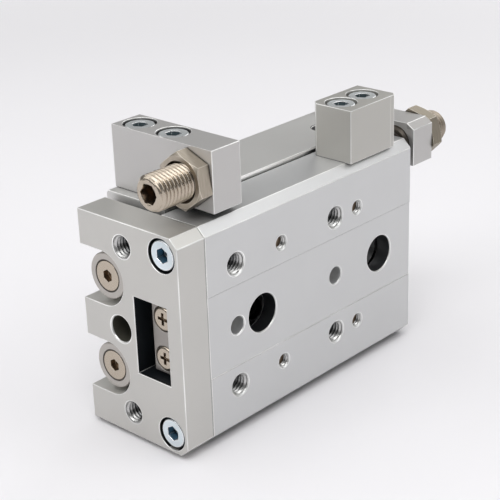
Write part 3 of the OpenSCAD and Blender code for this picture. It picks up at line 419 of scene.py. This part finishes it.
FINISHES = {
    # painted shade in gaps to other pieces and in the two access holes, painted highlight on the front edge
    "anodised_table": finish_material(
        "clear_anodised_table", (0.632, 0.636, 0.636), 0.72, 0.42, SATIN_GRAIN,
        lines=((0.03, 3.0, 3.0), 0.003, 0.02), contact=TIGHT_GAPS,
        pockets=(FRONT_ACCESS_HOLE, REAR_ACCESS_HOLE, TABLE_FRONT_EDGE)),
    # painted shade in the body's hollows, gaps, counterbore and ledge gap
    "anodised_body": finish_material(
        "clear_anodised_body", (0.65, 0.645, 0.63), 0.72, 0.44, SATIN_GRAIN,
        lines=((0.04, 4.0, 4.0), 0.004, 0.05), recess=(5.0, 0.7, 0.3, PAINTED_SHADE_BLACK, 0.85), contact=TIGHT_GAPS,
        pockets=(BODY_COUNTERBORE, LEDGE_GAP)),
    # painted shade in the blocks' hollows and in gaps to other pieces
    "anodised_block": finish_material(
        "anodised_adjuster_block", (0.55, 0.54, 0.53), 0.7, 0.42, SATIN_GRAIN,
        lines=MILLED_LINES, recess=BLOCK_HOLLOWS, contact=(0.9, 0.72, 0.45, PAINTED_SHADE_BLACK, 0.9)),
    "machined_aluminium": finish_material(
        "machined_aluminium", (0.72, 0.72, 0.72), 0.95, 0.3, FINE_GRAIN, edge=((0.9, 0.9, 0.9), 0.15, 0.5)),
    # painted shade in the steel's hollows
    "guide_steel": finish_material(
        "ground_guide_steel", (0.33, 0.31, 0.29), 0.9, 0.34, SATIN_GRAIN, edge=((0.7, 0.68, 0.64), 0.15, 0.5),
        lines=((0.05, 8.0, 8.0), 0.004, 0.12), recess=(3.0, 0.7, 0.3, PAINTED_SHADE_BLACK, 0.6)),
    # the dark ring is painted shade in the gap around the screw head
    "bush_steel": finish_material(
        "turned_bush_steel", (0.49, 0.465, 0.435), 0.85, 0.38, FINE_GRAIN,
        edge=((0.8, 0.77, 0.72), 0.12, 0.6), turned=(BUSH_CENTRE, 0.006, 0.1),
        ring=(BUSH_CENTRE, 3.3, 3.75, (0.1, 0.09, 0.08))),
    # painted brown shade in the front bolt's socket and thread roots
    "nickel": finish_material(
        "nickel_plated_steel", (0.505, 0.44, 0.362), 0.95, 0.23, PLATED_GRAIN,
        cloud=(0.8, 0.06), recess=(5.0, 0.66, 0.35, PAINTED_SHADE_BROWN, 0.85)),
    # painted blue shade in the sockets, painted shadow in gaps, and lighter edges as painted highlight
    "zinc_steel": finish_material(
        "blue_zinc_plated_steel", (0.72, 0.79, 0.83), 0.85, 0.4, SATIN_GRAIN,
        edge=((0.93, 0.95, 0.96), 0.12, 0.5), cloud=(1.6, 0.2), recess=(5.0, 0.78, 0.4, PAINTED_SHADE_BLUE, 0.85),
        contact=SCREW_GAPS),
    "black_steel": finish_material(
        "black_oxide_steel", (0.045, 0.045, 0.048), 0.6, 0.42, DULL_GRAIN, edge=((0.3, 0.3, 0.3), 0.1, 0.3)),
    "bronzed_steel": finish_material(
        "bronzed_steel", (0.42, 0.33, 0.25), 0.8, 0.38, DULL_GRAIN, edge=((0.7, 0.6, 0.5), 0.1, 0.3)),
    "spring_steel": finish_material(
        "phosphated_spring_steel", (0.13, 0.13, 0.13), 0.7, 0.42, DULL_GRAIN,
        edge=((0.45, 0.45, 0.45), 0.1, 0.4)),
    "hard_chrome": finish_material("hard_chrome", (0.78, 0.79, 0.8), 1.0, 0.1, (9.0, 0.0005)),
    "seal_rubber": finish_material(
        "nitrile_rubber", (0.022, 0.022, 0.023), 0.0, 0.5, (9.0, 0.012),
        edge=((0.06, 0.06, 0.06), 0.12, 0.4)),
    "wear_resin": finish_material(
        "filled_ptfe_resin", (0.56, 0.52, 0.44), 0.0, 0.45, DULL_GRAIN, edge=((0.7, 0.66, 0.58), 0.1, 0.3)),
    "magnet": finish_material(
        "plastic_bonded_magnet", (0.06, 0.06, 0.065), 0.2, 0.5, (9.0, 0.02),
        edge=((0.2, 0.2, 0.2), 0.1, 0.3)),
    "bumper_urethane": finish_material(
        "urethane_bumper", (0.06, 0.05, 0.042), 0.0, 0.4, DULL_GRAIN, edge=((0.12, 0.11, 0.1), 0.12, 0.4)),
    "cage_brass": finish_material(
        "stamped_brass", (0.72, 0.53, 0.26), 0.95, 0.3, (9.0, 0.005), edge=((0.9, 0.74, 0.45), 0.1, 0.4),
        lines=((0.08, 6.0, 6.0), 0.004, 0.08)),
}
# cut threads: painted shade in the thread roots and deep in the holes
CUT_THREAD = finish_material(
    "cut_thread", (0.56, 0.56, 0.55), 0.95, 0.28, FINE_GRAIN, recess=(6.0, 0.5, 0.16, PAINTED_SHADE_BLACK, 0.95))
# rounded aluminium edge strips: lighter as wear and as painted highlight, with painted shade in gaps, at the
# plugged port's rim and in the ledge gap
EDGE_WEAR_AND_PAINTED_LIGHT = finish_material(
    "aluminium_edge_wear_and_painted_light", (0.86, 0.86, 0.845), 0.75, 0.36, SATIN_GRAIN,
    cloud=(1.5, 0.3), contact=(5.0, 0.62, 0.4, PAINTED_SHADE_BLACK, 0.97), pockets=(PLUGGED_PORT_RIM, LEDGE_GAP))
# rounded edge strips of the cap screws: painted glints, with painted shadow in gaps
ZINC_EDGE_PAINTED_GLINT = finish_material(
    "zinc_edge_painted_glint", (0.93, 0.95, 0.96), 0.9, 0.2, PLATED_GRAIN, cloud=(1.5, 0.1), contact=SCREW_GAPS)

for part in frame["record"]["subparts"]:
    piece = NODES[part["node"]]
    piece.data.materials.clear()
    piece.data.materials.append(FINISHES[part["material_slot"]])

# pieces whose own finish differs a little from the rest of their slot
OWN_FINISH = {
    # painted shade in the end plate's window, pin hole and screw seats, and along its rear edge
    "end_plate": finish_material(
        "clear_anodised_end_plate", (0.592, 0.583, 0.558), 0.7, 0.43, SATIN_GRAIN,
        lines=((3.0, 0.04, 3.0), 0.003, 0.02),
        pockets=(PLATE_WINDOW, PLATE_PIN_HOLE, *PLATE_SCREW_SEATS, PLATE_REAR_EDGE)),
    # painted shade in the stopper's hollows, and a painted highlight line on its side
    "stopper_block": finish_material(
        "anodised_stopper_block", (0.50, 0.49, 0.46), 0.7, 0.42, SATIN_GRAIN,
        lines=MILLED_LINES, recess=BLOCK_HOLLOWS, pockets=(STOPPER_EDGE,)),
    # painted shade in the rail's hollows and its front counterbore
    "guide_rail": finish_material(
        "ground_guide_rail", (0.82, 0.81, 0.79), 1.0, 0.09, (9.0, 0.001),
        lines=((0.05, 8.0, 8.0), 0.001, 0.05), recess=(3.0, 0.6, 0.25, PAINTED_SHADE_BLACK, 0.5),
        pockets=(RAIL_COUNTERBORE,)),
}
# painted shade in the bracket's hollows and on one facet
BRACKET_FINISH = finish_material(
    "anodised_rear_bracket", (0.53, 0.52, 0.51), 0.7, 0.42, SATIN_GRAIN,
    lines=MILLED_LINES, recess=BLOCK_HOLLOWS, pockets=(BRACKET_FACET,))
# painted glints on the edges, painted grey-blue shade in the sockets and painted shadow in gaps
for node_name in ("front_block_screws", "stopper_screws"):
    OWN_FINISH[node_name] = finish_material(
        "pale_zinc_" + node_name, (0.76, 0.79, 0.8), 0.85, 0.36, SATIN_GRAIN,
        edge=((0.95, 0.96, 0.96), 0.12, 0.7), cloud=(1.0, 0.08),
        recess=(5.0, 0.78, 0.4, PAINTED_SHADE_GREY_BLUE, 0.85), contact=SCREW_GAPS)
# painted highlight on the nut edges, painted shadow where they meet the block, a dark ring of painted shade
# around the bolt; the rear nut is painted darker, as shade
for node_name, colour, roughness, centre in (
        ("front_lock_nut", (0.42, 0.37, 0.305), 0.33, (0.0, -23.7, 33.2)),
        ("rear_lock_nut", (0.31, 0.275, 0.22), 0.5, (0.0, -25.2, 23.0))):
    OWN_FINISH[node_name] = finish_material(
        "milled_" + node_name, colour, 0.95, roughness, SATIN_GRAIN, edge=((1.0, 0.94, 0.84), 0.2, 1.0),
        cloud=(1.0, 0.08), contact=(1.0, 0.78, 0.5, PAINTED_SHADE_DARK_BROWN, 0.95),
        lines=((6.0, 0.5, 0.5), 0.012, 0.5), ring=(centre, 3.5, 4.45, (0.06, 0.045, 0.03)))
for node_name, finish in OWN_FINISH.items():
    NODES[node_name].data.materials[0] = finish


# ---------- broken edges on the CAD pieces ----------

# width in mm, and the finish of the rounded strip on the edge, if any, lighter as wear and as painted
# highlight
EDGE_BREAK = {
    "table": (0.12, EDGE_WEAR_AND_PAINTED_LIGHT),
    "end_plate": (0.16, EDGE_WEAR_AND_PAINTED_LIGHT),
    "body": (0.12, EDGE_WEAR_AND_PAINTED_LIGHT),
    "front_block": (0.15, EDGE_WEAR_AND_PAINTED_LIGHT),
    "stopper_block": (0.13, EDGE_WEAR_AND_PAINTED_LIGHT),
    "end_plate_screws": (0.1, ZINC_EDGE_PAINTED_GLINT),
    "front_block_screws": (0.1, ZINC_EDGE_PAINTED_GLINT),
    "stopper_screws": (0.1, ZINC_EDGE_PAINTED_GLINT),
    "rear_bracket_screws": (0.1, ZINC_EDGE_PAINTED_GLINT),
    "bush_screws": (0.1, None),
    "floating_bushes": (0.1, None),
    "front_rail_plate": (0.1, None),
    "rear_rail_plate": (0.1, None),
    "front_plate_screws": (0.08, None),
    "rear_plate_screws": (0.08, None),
    "guide_rail": (0.08, None),
    "upper_guide_block": (0.1, None),
    "lower_guide_block": (0.1, None),
    "port_plug": (0.08, None),
    "rod_covers": (0.08, None),
    "head_caps": (0.1, None),
}
# metres within which corners of the mesh are one, and degrees at which faces are one or an edge is sharp
SAME_CORNER = 1e-6
SAME_FACE = 0.5
SHARP_EDGE = 25
BREAK_STEPS = 2


def soften(piece, width, edge_strip_finish=None):
    """Closes the seams between faces, then rounds the sharp edges a little and keeps flat faces flat."""
    for face in piece.data.polygons:
        face.use_smooth = True
    weld = piece.modifiers.new("closed_seams", "WELD")
    weld.merge_threshold = SAME_CORNER
    flat = piece.modifiers.new("whole_faces", "DECIMATE")
    flat.decimate_type = "DISSOLVE"
    flat.angle_limit = math.radians(SAME_FACE)
    bevel = piece.modifiers.new("edge_break", "BEVEL")
    bevel.width = width * MM
    bevel.segments = BREAK_STEPS
    bevel.limit_method = "ANGLE"
    bevel.angle_limit = math.radians(SHARP_EDGE)
    bevel.use_clamp_overlap = False
    # the rounded strips take the lighter edge finish: wear and painted highlight
    if edge_strip_finish:
        piece.data.materials.append(edge_strip_finish)
        bevel.material = 1
    shade = piece.modifiers.new("flat_faces", "WEIGHTED_NORMAL")
    shade.weight = 100
    shade.keep_sharp = False


for node_name, values in EDGE_BREAK.items():
    soften(NODES[node_name], *values)


# ---------- mesh builders ----------

# share of the pitch over which a thread's crest, and its root, are flat
THREAD_FLAT = 0.12
# metres within which two corners of a new mesh are one, and millimetres within which one lies on an end
MERGE = 1e-7
ON_END = 1e-4


def thread_wave(turns):
    """Depth of a thread's profile, from 0 at the flat crest to 1 at the flat root."""
    share = abs((turns % 1.0) * 2 - 1)
    return min(1.0, max(0.0, (share - THREAD_FLAT) / (1 - 2 * THREAD_FLAT)))


def ring_point(origin, axes, along, radius, angle):
    """Point at a distance along an axis, at a radius and an angle around it."""
    axis, first, second = axes
    return origin + axis * along + (first * math.cos(angle) + second * math.sin(angle)) * radius


def close_seams(mesh):
    """Joins corners that share a place and drops the faces that vanish with them."""
    bmesh.ops.remove_doubles(mesh, verts=mesh.verts, dist=MERGE)
    bmesh.ops.dissolve_degenerate(mesh, dist=MERGE, edges=mesh.edges)


def finished_piece(name, mesh, material, sharp=None):
    """New piece from a mesh, shaded smooth up to an angle in degrees if one is given."""
    data = bpy.data.meshes.new(name)
    mesh.to_mesh(data)
    mesh.free()
    if sharp:
        for face in data.polygons:
            face.use_smooth = True
        data.set_sharp_from_angle(angle=math.radians(sharp))
    data.materials.append(material)
    piece = bpy.data.objects.new(name, data)
    bpy.context.scene.collection.objects.link(piece)
    return piece


def thread_in_hole(origin, axes, hole_r, depth, pitch, start, end):
    """Helical ridges lining a hole: a closed sleeve whose inner face is the thread.

    origin is the middle of the hole's mouth and axes point into it; start and end are the sleeve's depths.
    """
    around, per_turn = 40, 8
    rows = (int(math.ceil((end - start) / pitch)) + 1) * per_turn
    # the sleeve's faces lie just inside and just behind the hole's wall, and the ridges fade out at both ends
    root, wall, fade_length = hole_r - 0.02, hole_r + 0.06, 0.4 * pitch
    mesh = bmesh.new()

    def vertex(along, radius, step):
        return mesh.verts.new(ring_point(origin, axes, along, radius, 2 * math.pi * step / around) * MM)

    grid = []
    for row in range(rows + 1):
        line = []
        for step in range(around + 1):
            along = min(end, max(start, start + (row / per_turn + step / around - 1) * pitch))
            fade = min(1.0, max(0.0, min(along - start, end - along) / fade_length))
            ridge = 1 - thread_wave(row / per_turn)
            line.append(vertex(along, root - depth * ridge * fade, step))
        grid.append(line)
    for one, two in zip(grid, grid[1:]):
        for step in range(around):
            mesh.faces.new([one[step], one[step + 1], two[step + 1], two[step]])
    outer = [[vertex(along, wall, step) for step in range(around)] for along in (start, end)]
    inner = [[vertex(along, root, step) for step in range(around)] for along in (start, end)]
    for step in range(around):
        following = (step + 1) % around
        for one, two in ((outer[0], inner[0]), (inner[1], outer[1]), (outer[1], outer[0])):
            mesh.faces.new([one[step], one[following], two[following], two[step]])
    close_seams(mesh)
    bmesh.ops.recalc_face_normals(mesh, faces=mesh.faces)
    return mesh


def thread_piece(name, sleeves, body, material):
    """One piece from all the thread sleeves of a body."""
    whole = bmesh.new()
    for sleeve in sleeves:
        part = bpy.data.meshes.new("sleeve")
        sleeve.to_mesh(part)
        sleeve.free()
        whole.from_mesh(part)
        bpy.data.meshes.remove(part)
    piece = finished_piece(name, whole, material, sharp=60)
    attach(piece, body)


# adjuster bolts: thread, end chamfer, hexagon socket with its drilled bottom, and the bumper's bore
BOLT_PITCH, BOLT_THREAD, BOLT_CHAMFER = 1.0, 0.55, 0.75
SOCKET_HALF_FLATS, SOCKET_DEPTH = 2.0, 3.4
# how far the socket's mouth is opened, at its flats and at its corners
LEAD_AT_FLATS, LEAD_AT_CORNERS = 0.16, 0.06
DRILL_R, DRILL_DEPTH, DRILL_TIP_R = 1.75, 4.3, 0.05
BUMPER_BORE_R, BUMPER_BORE_DEPTH = 2.5, 3.0


def adjuster_bolt(name, node, socket_end, body, finish):
    """Threaded adjuster bolt: helical thread, chamfered ends, hexagon socket and the bumper's bore."""
    low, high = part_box(node)
    low, high = low / MM, high / MM
    length = high.x - low.x
    outer = (high.y - low.y) / 2
    centre = Vector((low.x if socket_end < 0 else high.x, (low.y + high.y) / 2, (low.z + high.z) / 2))
    axes = ALONG_X if socket_end < 0 else BACK_X
    around, per_turn = 72, 12
    rows = int(math.ceil(length / BOLT_PITCH)) * per_turn + per_turn
    mesh = bmesh.new()

    def vertex(along, radius, angle):
        return mesh.verts.new(ring_point(centre, axes, along, radius, angle) * MM)

    # each row climbs one pitch per turn; what would pass an end is laid on that end's rim
    grid = []
    for row in range(rows + 1):
        line = []
        for step in range(around + 1):
            along = (row / per_turn + step / around - 1) * BOLT_PITCH
            flat = min(length, max(0.0, along))
            rim = outer - max(0.0, BOLT_CHAMFER - min(flat, length - flat))
            radius = min(outer - BOLT_THREAD * thread_wave(row / per_turn), rim)
            line.append(vertex(flat, radius, 2 * math.pi * step / around))
        grid.append(line)
    for one, two in zip(grid, grid[1:]):
        for step in range(around):
            mesh.faces.new([one[step], two[step], two[step + 1], one[step + 1]])
    close_seams(mesh)

    def rim_ring(along):
        """The vertices of the thread that lie on one end, in order around it."""
        axis, first, second = axes
        found = []
        for v in mesh.verts:
            apart = v.co / MM - centre
            if abs(apart.dot(axis) - along) < ON_END:
                found.append((math.atan2(apart.dot(second), apart.dot(first)) % (2 * math.pi), v))
        found.sort(key=lambda pair: pair[0])
        return [v for angle, v in found]

    def ring(along, radius_at):
        angles = [2 * math.pi * step / around for step in range(around)]
        return [vertex(along, radius_at(angle), angle) for angle in angles]

    def socket(angle):
        """Radius of the hexagon, with a corner in the first cross direction."""
        off_flat = angle % (math.pi / 3) - math.pi / 6
        return SOCKET_HALF_FLATS / math.cos(off_flat)

    def skin(loops):
        """Walls from each loop to the next, and a floor in the last."""
        for one, two in zip(loops, loops[1:]):
            for step in range(around):
                following = (step + 1) % around
                mesh.faces.new([one[step], one[following], two[following], two[step]])
        mesh.faces.new(loops[-1])

    rim, far_rim = rim_ring(0.0), rim_ring(length)
    skin([
        rim,
        ring(0.0, lambda angle: max(socket(angle) + LEAD_AT_CORNERS, SOCKET_HALF_FLATS + LEAD_AT_FLATS)),
        ring(LEAD_AT_FLATS, socket),
        ring(SOCKET_DEPTH, socket),
        ring(SOCKET_DEPTH, lambda angle: DRILL_R),
        ring(DRILL_DEPTH, lambda angle: DRILL_TIP_R),
    ])
    skin([
        far_rim,
        ring(length, lambda angle: BUMPER_BORE_R),
        ring(length - BUMPER_BORE_DEPTH, lambda angle: BUMPER_BORE_R),
    ])
    bmesh.ops.recalc_face_normals(mesh, faces=mesh.faces)
    piece = finished_piece(name, mesh, finish, sharp=50)
    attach(piece, body)
    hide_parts(node)


def drilled_bar(name, node, outline, holes, material):
    """A bar between a node's two ends along X, with an outline of (y, z) corners.

    holes: (y, z, radius, radius of the counterbore in its far end, depth of the counterbore)
    """
    low, high = (corner.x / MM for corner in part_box(node))
    mesh = bmesh.new()

    def loop(x, points):
        return [mesh.verts.new(Vector((x, y, z)) * MM) for y, z in points]

    def circle(x, y, z, radius, steps=48):
        turns = [2 * math.pi * step / steps for step in range(steps)]
        return loop(x, [(y + radius * math.cos(turn), z + radius * math.sin(turn)) for turn in turns])

    def skin(*loops):
        for one, two in zip(loops, loops[1:]):
            for step, corner in enumerate(one):
                following = (step + 1) % len(one)
                mesh.faces.new([corner, one[following], two[following], two[step]])

    near, far = [loop(low, outline)], [loop(high, outline)]
    skin(near[0], far[0])
    for y, z, radius, sunk, depth in holes:
        near.append(circle(low, y, z, radius))
        far.append(circle(high, y, z, sunk))
        if depth:
            skin(near[-1], circle(high - depth, y, z, radius), circle(high - depth, y, z, sunk), far[-1])
        else:
            skin(near[-1], far[-1])
    for loops in (near, far):
        rims = [mesh.edges.get((one[step - 1], one[step])) for one in loops for step in range(len(one))]
        bmesh.ops.triangle_fill(mesh, edges=rims, use_beauty=True)
    bmesh.ops.recalc_face_normals(mesh, faces=mesh.faces)
    return finished_piece(name, mesh, material)


# ---------- rear bracket: its end runs on past the outer screw's counterbore ----------

BRACKET_END = -0.4
BRACKET_CORNERS = ((-30.6, 17.9), (BRACKET_END, 17.9), (BRACKET_END, 28.2), (-28.6, 28.2), (-30.6, 26.9))
# the adjuster bolt's thread, and two counterbored screw holes
BRACKET_HOLES = (
    (-25.2, 23.0, 4.04, 4.04, 0.0), (-13.1, 21.85, 2.05, 3.7, 4.3), (-4.9, 21.85, 2.05, 3.7, 4.3))

bracket = drilled_bar("closed_rear_bracket", "rear_bracket", BRACKET_CORNERS, BRACKET_HOLES, BRACKET_FINISH)
soften(bracket, 0.15, EDGE_WEAR_AND_PAINTED_LIGHT)
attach(bracket, "base")
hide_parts("rear_bracket")


# ---------- threads and bolts ----------

# (radius of the plain hole, height of the thread, pitch)
M5 = (2.5, 0.42, 0.8)
M3 = (1.55, 0.28, 0.5)

# places of the threads: X from the end plate's front, Y from the table's face, Z from the middle
TABLE_M5_X, TABLE_M3_X, TABLE_THREAD_Z = (16.83, 49.57), (31.2, 57.4), 14.24
PLATE_M5_Y, PLATE_M5_Z = 16.3, 19.45
PORT_X, PORT_Y = (20.6, 70.2), 25.5
# the body's mounting threads, from the middle between them
BODY_M5_X, BODY_M5_Z = 15, 21.3

front = lowest("end_plate").x
face = lowest("table").y
body_back = highest("body").y
body_under = lowest("body").z

table_threads = []
for z in (-TABLE_THREAD_Z, TABLE_THREAD_Z):
    for x in TABLE_M5_X:
        table_threads.append(thread_in_hole(Vector((front + x, face, z)), ALONG_Y, *M5, start=0.3, end=5.5))
    for x in TABLE_M3_X:
        table_threads.append(thread_in_hole(Vector((front + x, face, z)), ALONG_Y, *M3, start=0.35, end=1.5))
thread_piece("table_threads", table_threads, "moving_table", CUT_THREAD)

plate_threads = [
    thread_in_hole(Vector((front, face + PLATE_M5_Y, z)), ALONG_X, *M5, start=0.25, end=7.9)
    for z in (-PLATE_M5_Z, PLATE_M5_Z)
]
thread_piece("end_plate_threads", plate_threads, "moving_table", CUT_THREAD)

body_threads = [
    thread_in_hole(Vector((x, body_back, z)), BACK_Y, *M5, start=0.2, end=7.3)
    for x in (-BODY_M5_X, BODY_M5_X) for z in (-BODY_M5_Z, BODY_M5_Z)
]
for x in PORT_X:
    origin = Vector((front + x, face + PORT_Y, body_under))
    body_threads.append(thread_in_hole(origin, ALONG_Z, *M5, start=0.35, end=5.3))
thread_piece("body_threads", body_threads, "base", CUT_THREAD)

# the rear bolt's nickel: rougher, and painted darker than the front bolt's as shade, with painted shade in
# its socket and in the bracket
darkened_rear_nickel = finish_material(
    "rear_nickel_bolt_painted_darker", (0.40, 0.35, 0.29), 0.9, 0.4, SATIN_GRAIN,
    recess=(5.0, 0.66, 0.35, PAINTED_SHADE_BROWN, 0.93), pockets=(REAR_BOLT_IN_BRACKET,))
adjuster_bolt("front_adjuster_bolt", "front_bolt", -1, "front_bolt_screw", FINISHES["nickel"])
adjuster_bolt("rear_adjuster_bolt", "rear_bolt", 1, "rear_bolt_screw", darkened_rear_nickel)


# ---------- floor, light and camera ----------

FLOOR_HALF = 3000.0
# drop of the floor below the body
FLOOR_GAP = 0.02
FLOOR_COLOUR = (0.84, 0.83, 0.85)
# painted light: the sweep's far part glows by emission, which starts and is full at these distances
GLOW_START, GLOW_FULL = 280.0, 900.0
GLOW_COLOUR = (0.78, 0.78, 0.79)

# angles in degrees, where a negative turn is toward the left of the front; place and lens in millimetres
CAMERA_TURN, CAMERA_RISE, CAMERA_ROLL = -46.936, 23.163, -2.004
CAMERA_PLACE = (-214.70, -212.67, 129.94)
CAMERA_LENS, CAMERA_SENSOR = 99.65, 36.0

ROOM_LIGHT = 0.155

# softboxes: (turn from the front, height angle, distance, side of the square, watts, point aimed at if not 0)
SOFTBOXES = {
    "key_right": (54, 44, 600, 320, 0.42),
    "front": (20, 35, 650, 350, 0.93),
    "front_left_high": (-46, 60, 650, 350, 1.44),
    "left": (-100, 35, 650, 350, 1.02),
    "right": (100, 35, 650, 350, 0.72),
    "back_left": (-140, 40, 650, 350, 0.48),
    "back": (180, 40, 650, 350, 0.44),
    "overhead": (0, 90, 650, 500, 0.61),
    "floor_wash": (0, 90, 550, 500, 0.55, (160.0, 360.0, 0.0)),
}


def build_floor(z):
    mesh = bpy.data.meshes.new("studio_floor")
    corners = [(-FLOOR_HALF, -FLOOR_HALF, z), (FLOOR_HALF, -FLOOR_HALF, z),
               (FLOOR_HALF, FLOOR_HALF, z), (-FLOOR_HALF, FLOOR_HALF, z)]
    mesh.from_pydata([tuple(c * MM for c in corner) for corner in corners], [], [(0, 1, 2, 3)])
    floor = bpy.data.objects.new("studio_floor", mesh)
    bpy.context.scene.collection.objects.link(floor)
    material = bpy.data.materials.new("matt_white_sweep")
    material.use_nodes = True
    tree = material.node_tree
    shader = next(n for n in tree.nodes if n.type == "BSDF_PRINCIPLED")
    shader.inputs["Roughness"].default_value = 0.8
    shader.inputs["Specular IOR Level"].default_value = 0.2
    noise = noise_node(tree, position(tree), (0.02, 0.02, 0.02))
    tone = math_node(tree, "MULTIPLY_ADD", noise, 0.01, 0.995)
    tree.links.new(mix_colour(tree, 1.0, FLOOR_COLOUR, tone, "MULTIPLY"), shader.inputs["Base Color"])
    # painted light: the floor glows by emission, from nothing near the middle to full far away
    away = vector_node(tree, "LENGTH", position(tree)).outputs["Value"]
    glow_ramp = tree.nodes.new("ShaderNodeMapRange")
    glow_ramp.interpolation_type = "SMOOTHSTEP"
    glow_ramp.inputs["From Min"].default_value = GLOW_START
    glow_ramp.inputs["From Max"].default_value = GLOW_FULL
    tree.links.new(away, glow_ramp.inputs["Value"])
    glow = mix_colour(tree, glow_ramp.outputs["Result"], (0.0, 0.0, 0.0), GLOW_COLOUR)
    tree.links.new(glow, shader.inputs["Emission Color"])
    shader.inputs["Emission Strength"].default_value = 1.0
    mesh.materials.append(material)


def soft_light(name, turn, height, away, side, watts, aim=(0.0, 0.0, 0.0)):
    """A square softbox aimed at a point, turned from the front toward the right and raised by an angle."""
    turn, height = math.radians(turn), math.radians(height)
    data = bpy.data.lights.new(name, "AREA")
    data.shape = "SQUARE"
    data.size = side * MM
    data.energy = watts
    light = bpy.data.objects.new(name, data)
    place = Vector((math.sin(turn) * math.cos(height), -math.cos(turn) * math.cos(height), math.sin(height)))
    light.location = (Vector(aim) + place * away) * MM
    light.rotation_euler = (-place).to_track_quat("-Z", "Y").to_euler()
    bpy.context.scene.collection.objects.link(light)


def build_camera():
    turn, rise, roll = (math.radians(angle) for angle in (CAMERA_TURN, CAMERA_RISE, CAMERA_ROLL))
    back = Vector((math.sin(turn) * math.cos(rise), -math.cos(turn) * math.cos(rise), math.sin(rise)))
    forward = -back
    right = forward.cross(Vector((0, 0, 1))).normalized()
    up = right.cross(forward)
    turned_right = right * math.cos(roll) + up * math.sin(roll)
    turned_up = -right * math.sin(roll) + up * math.cos(roll)
    data = bpy.data.cameras.new("camera")
    data.lens = CAMERA_LENS
    data.sensor_width = CAMERA_SENSOR
    data.clip_start, data.clip_end = 0.01, 20.0
    camera = bpy.data.objects.new("camera", data)
    matrix = Matrix((turned_right, turned_up, back)).transposed().to_4x4()
    matrix.translation = Vector(CAMERA_PLACE) * MM
    camera.matrix_world = matrix
    bpy.context.scene.collection.objects.link(camera)
    bpy.context.scene.camera = camera


build_floor(body_under - FLOOR_GAP)
build_camera()

world = bpy.data.worlds.new("studio")
bpy.context.scene.world = world
world.use_nodes = True
background = next(n for n in world.node_tree.nodes if n.type == "BACKGROUND")
background.inputs["Color"].default_value = (1.0, 1.0, 1.0, 1.0)
background.inputs["Strength"].default_value = ROOM_LIGHT

for light_name, values in SOFTBOXES.items():
    soft_light(light_name, *values)

bpy.context.scene.view_settings.view_transform = "Standard"
bpy.context.scene.view_settings.look = "None"

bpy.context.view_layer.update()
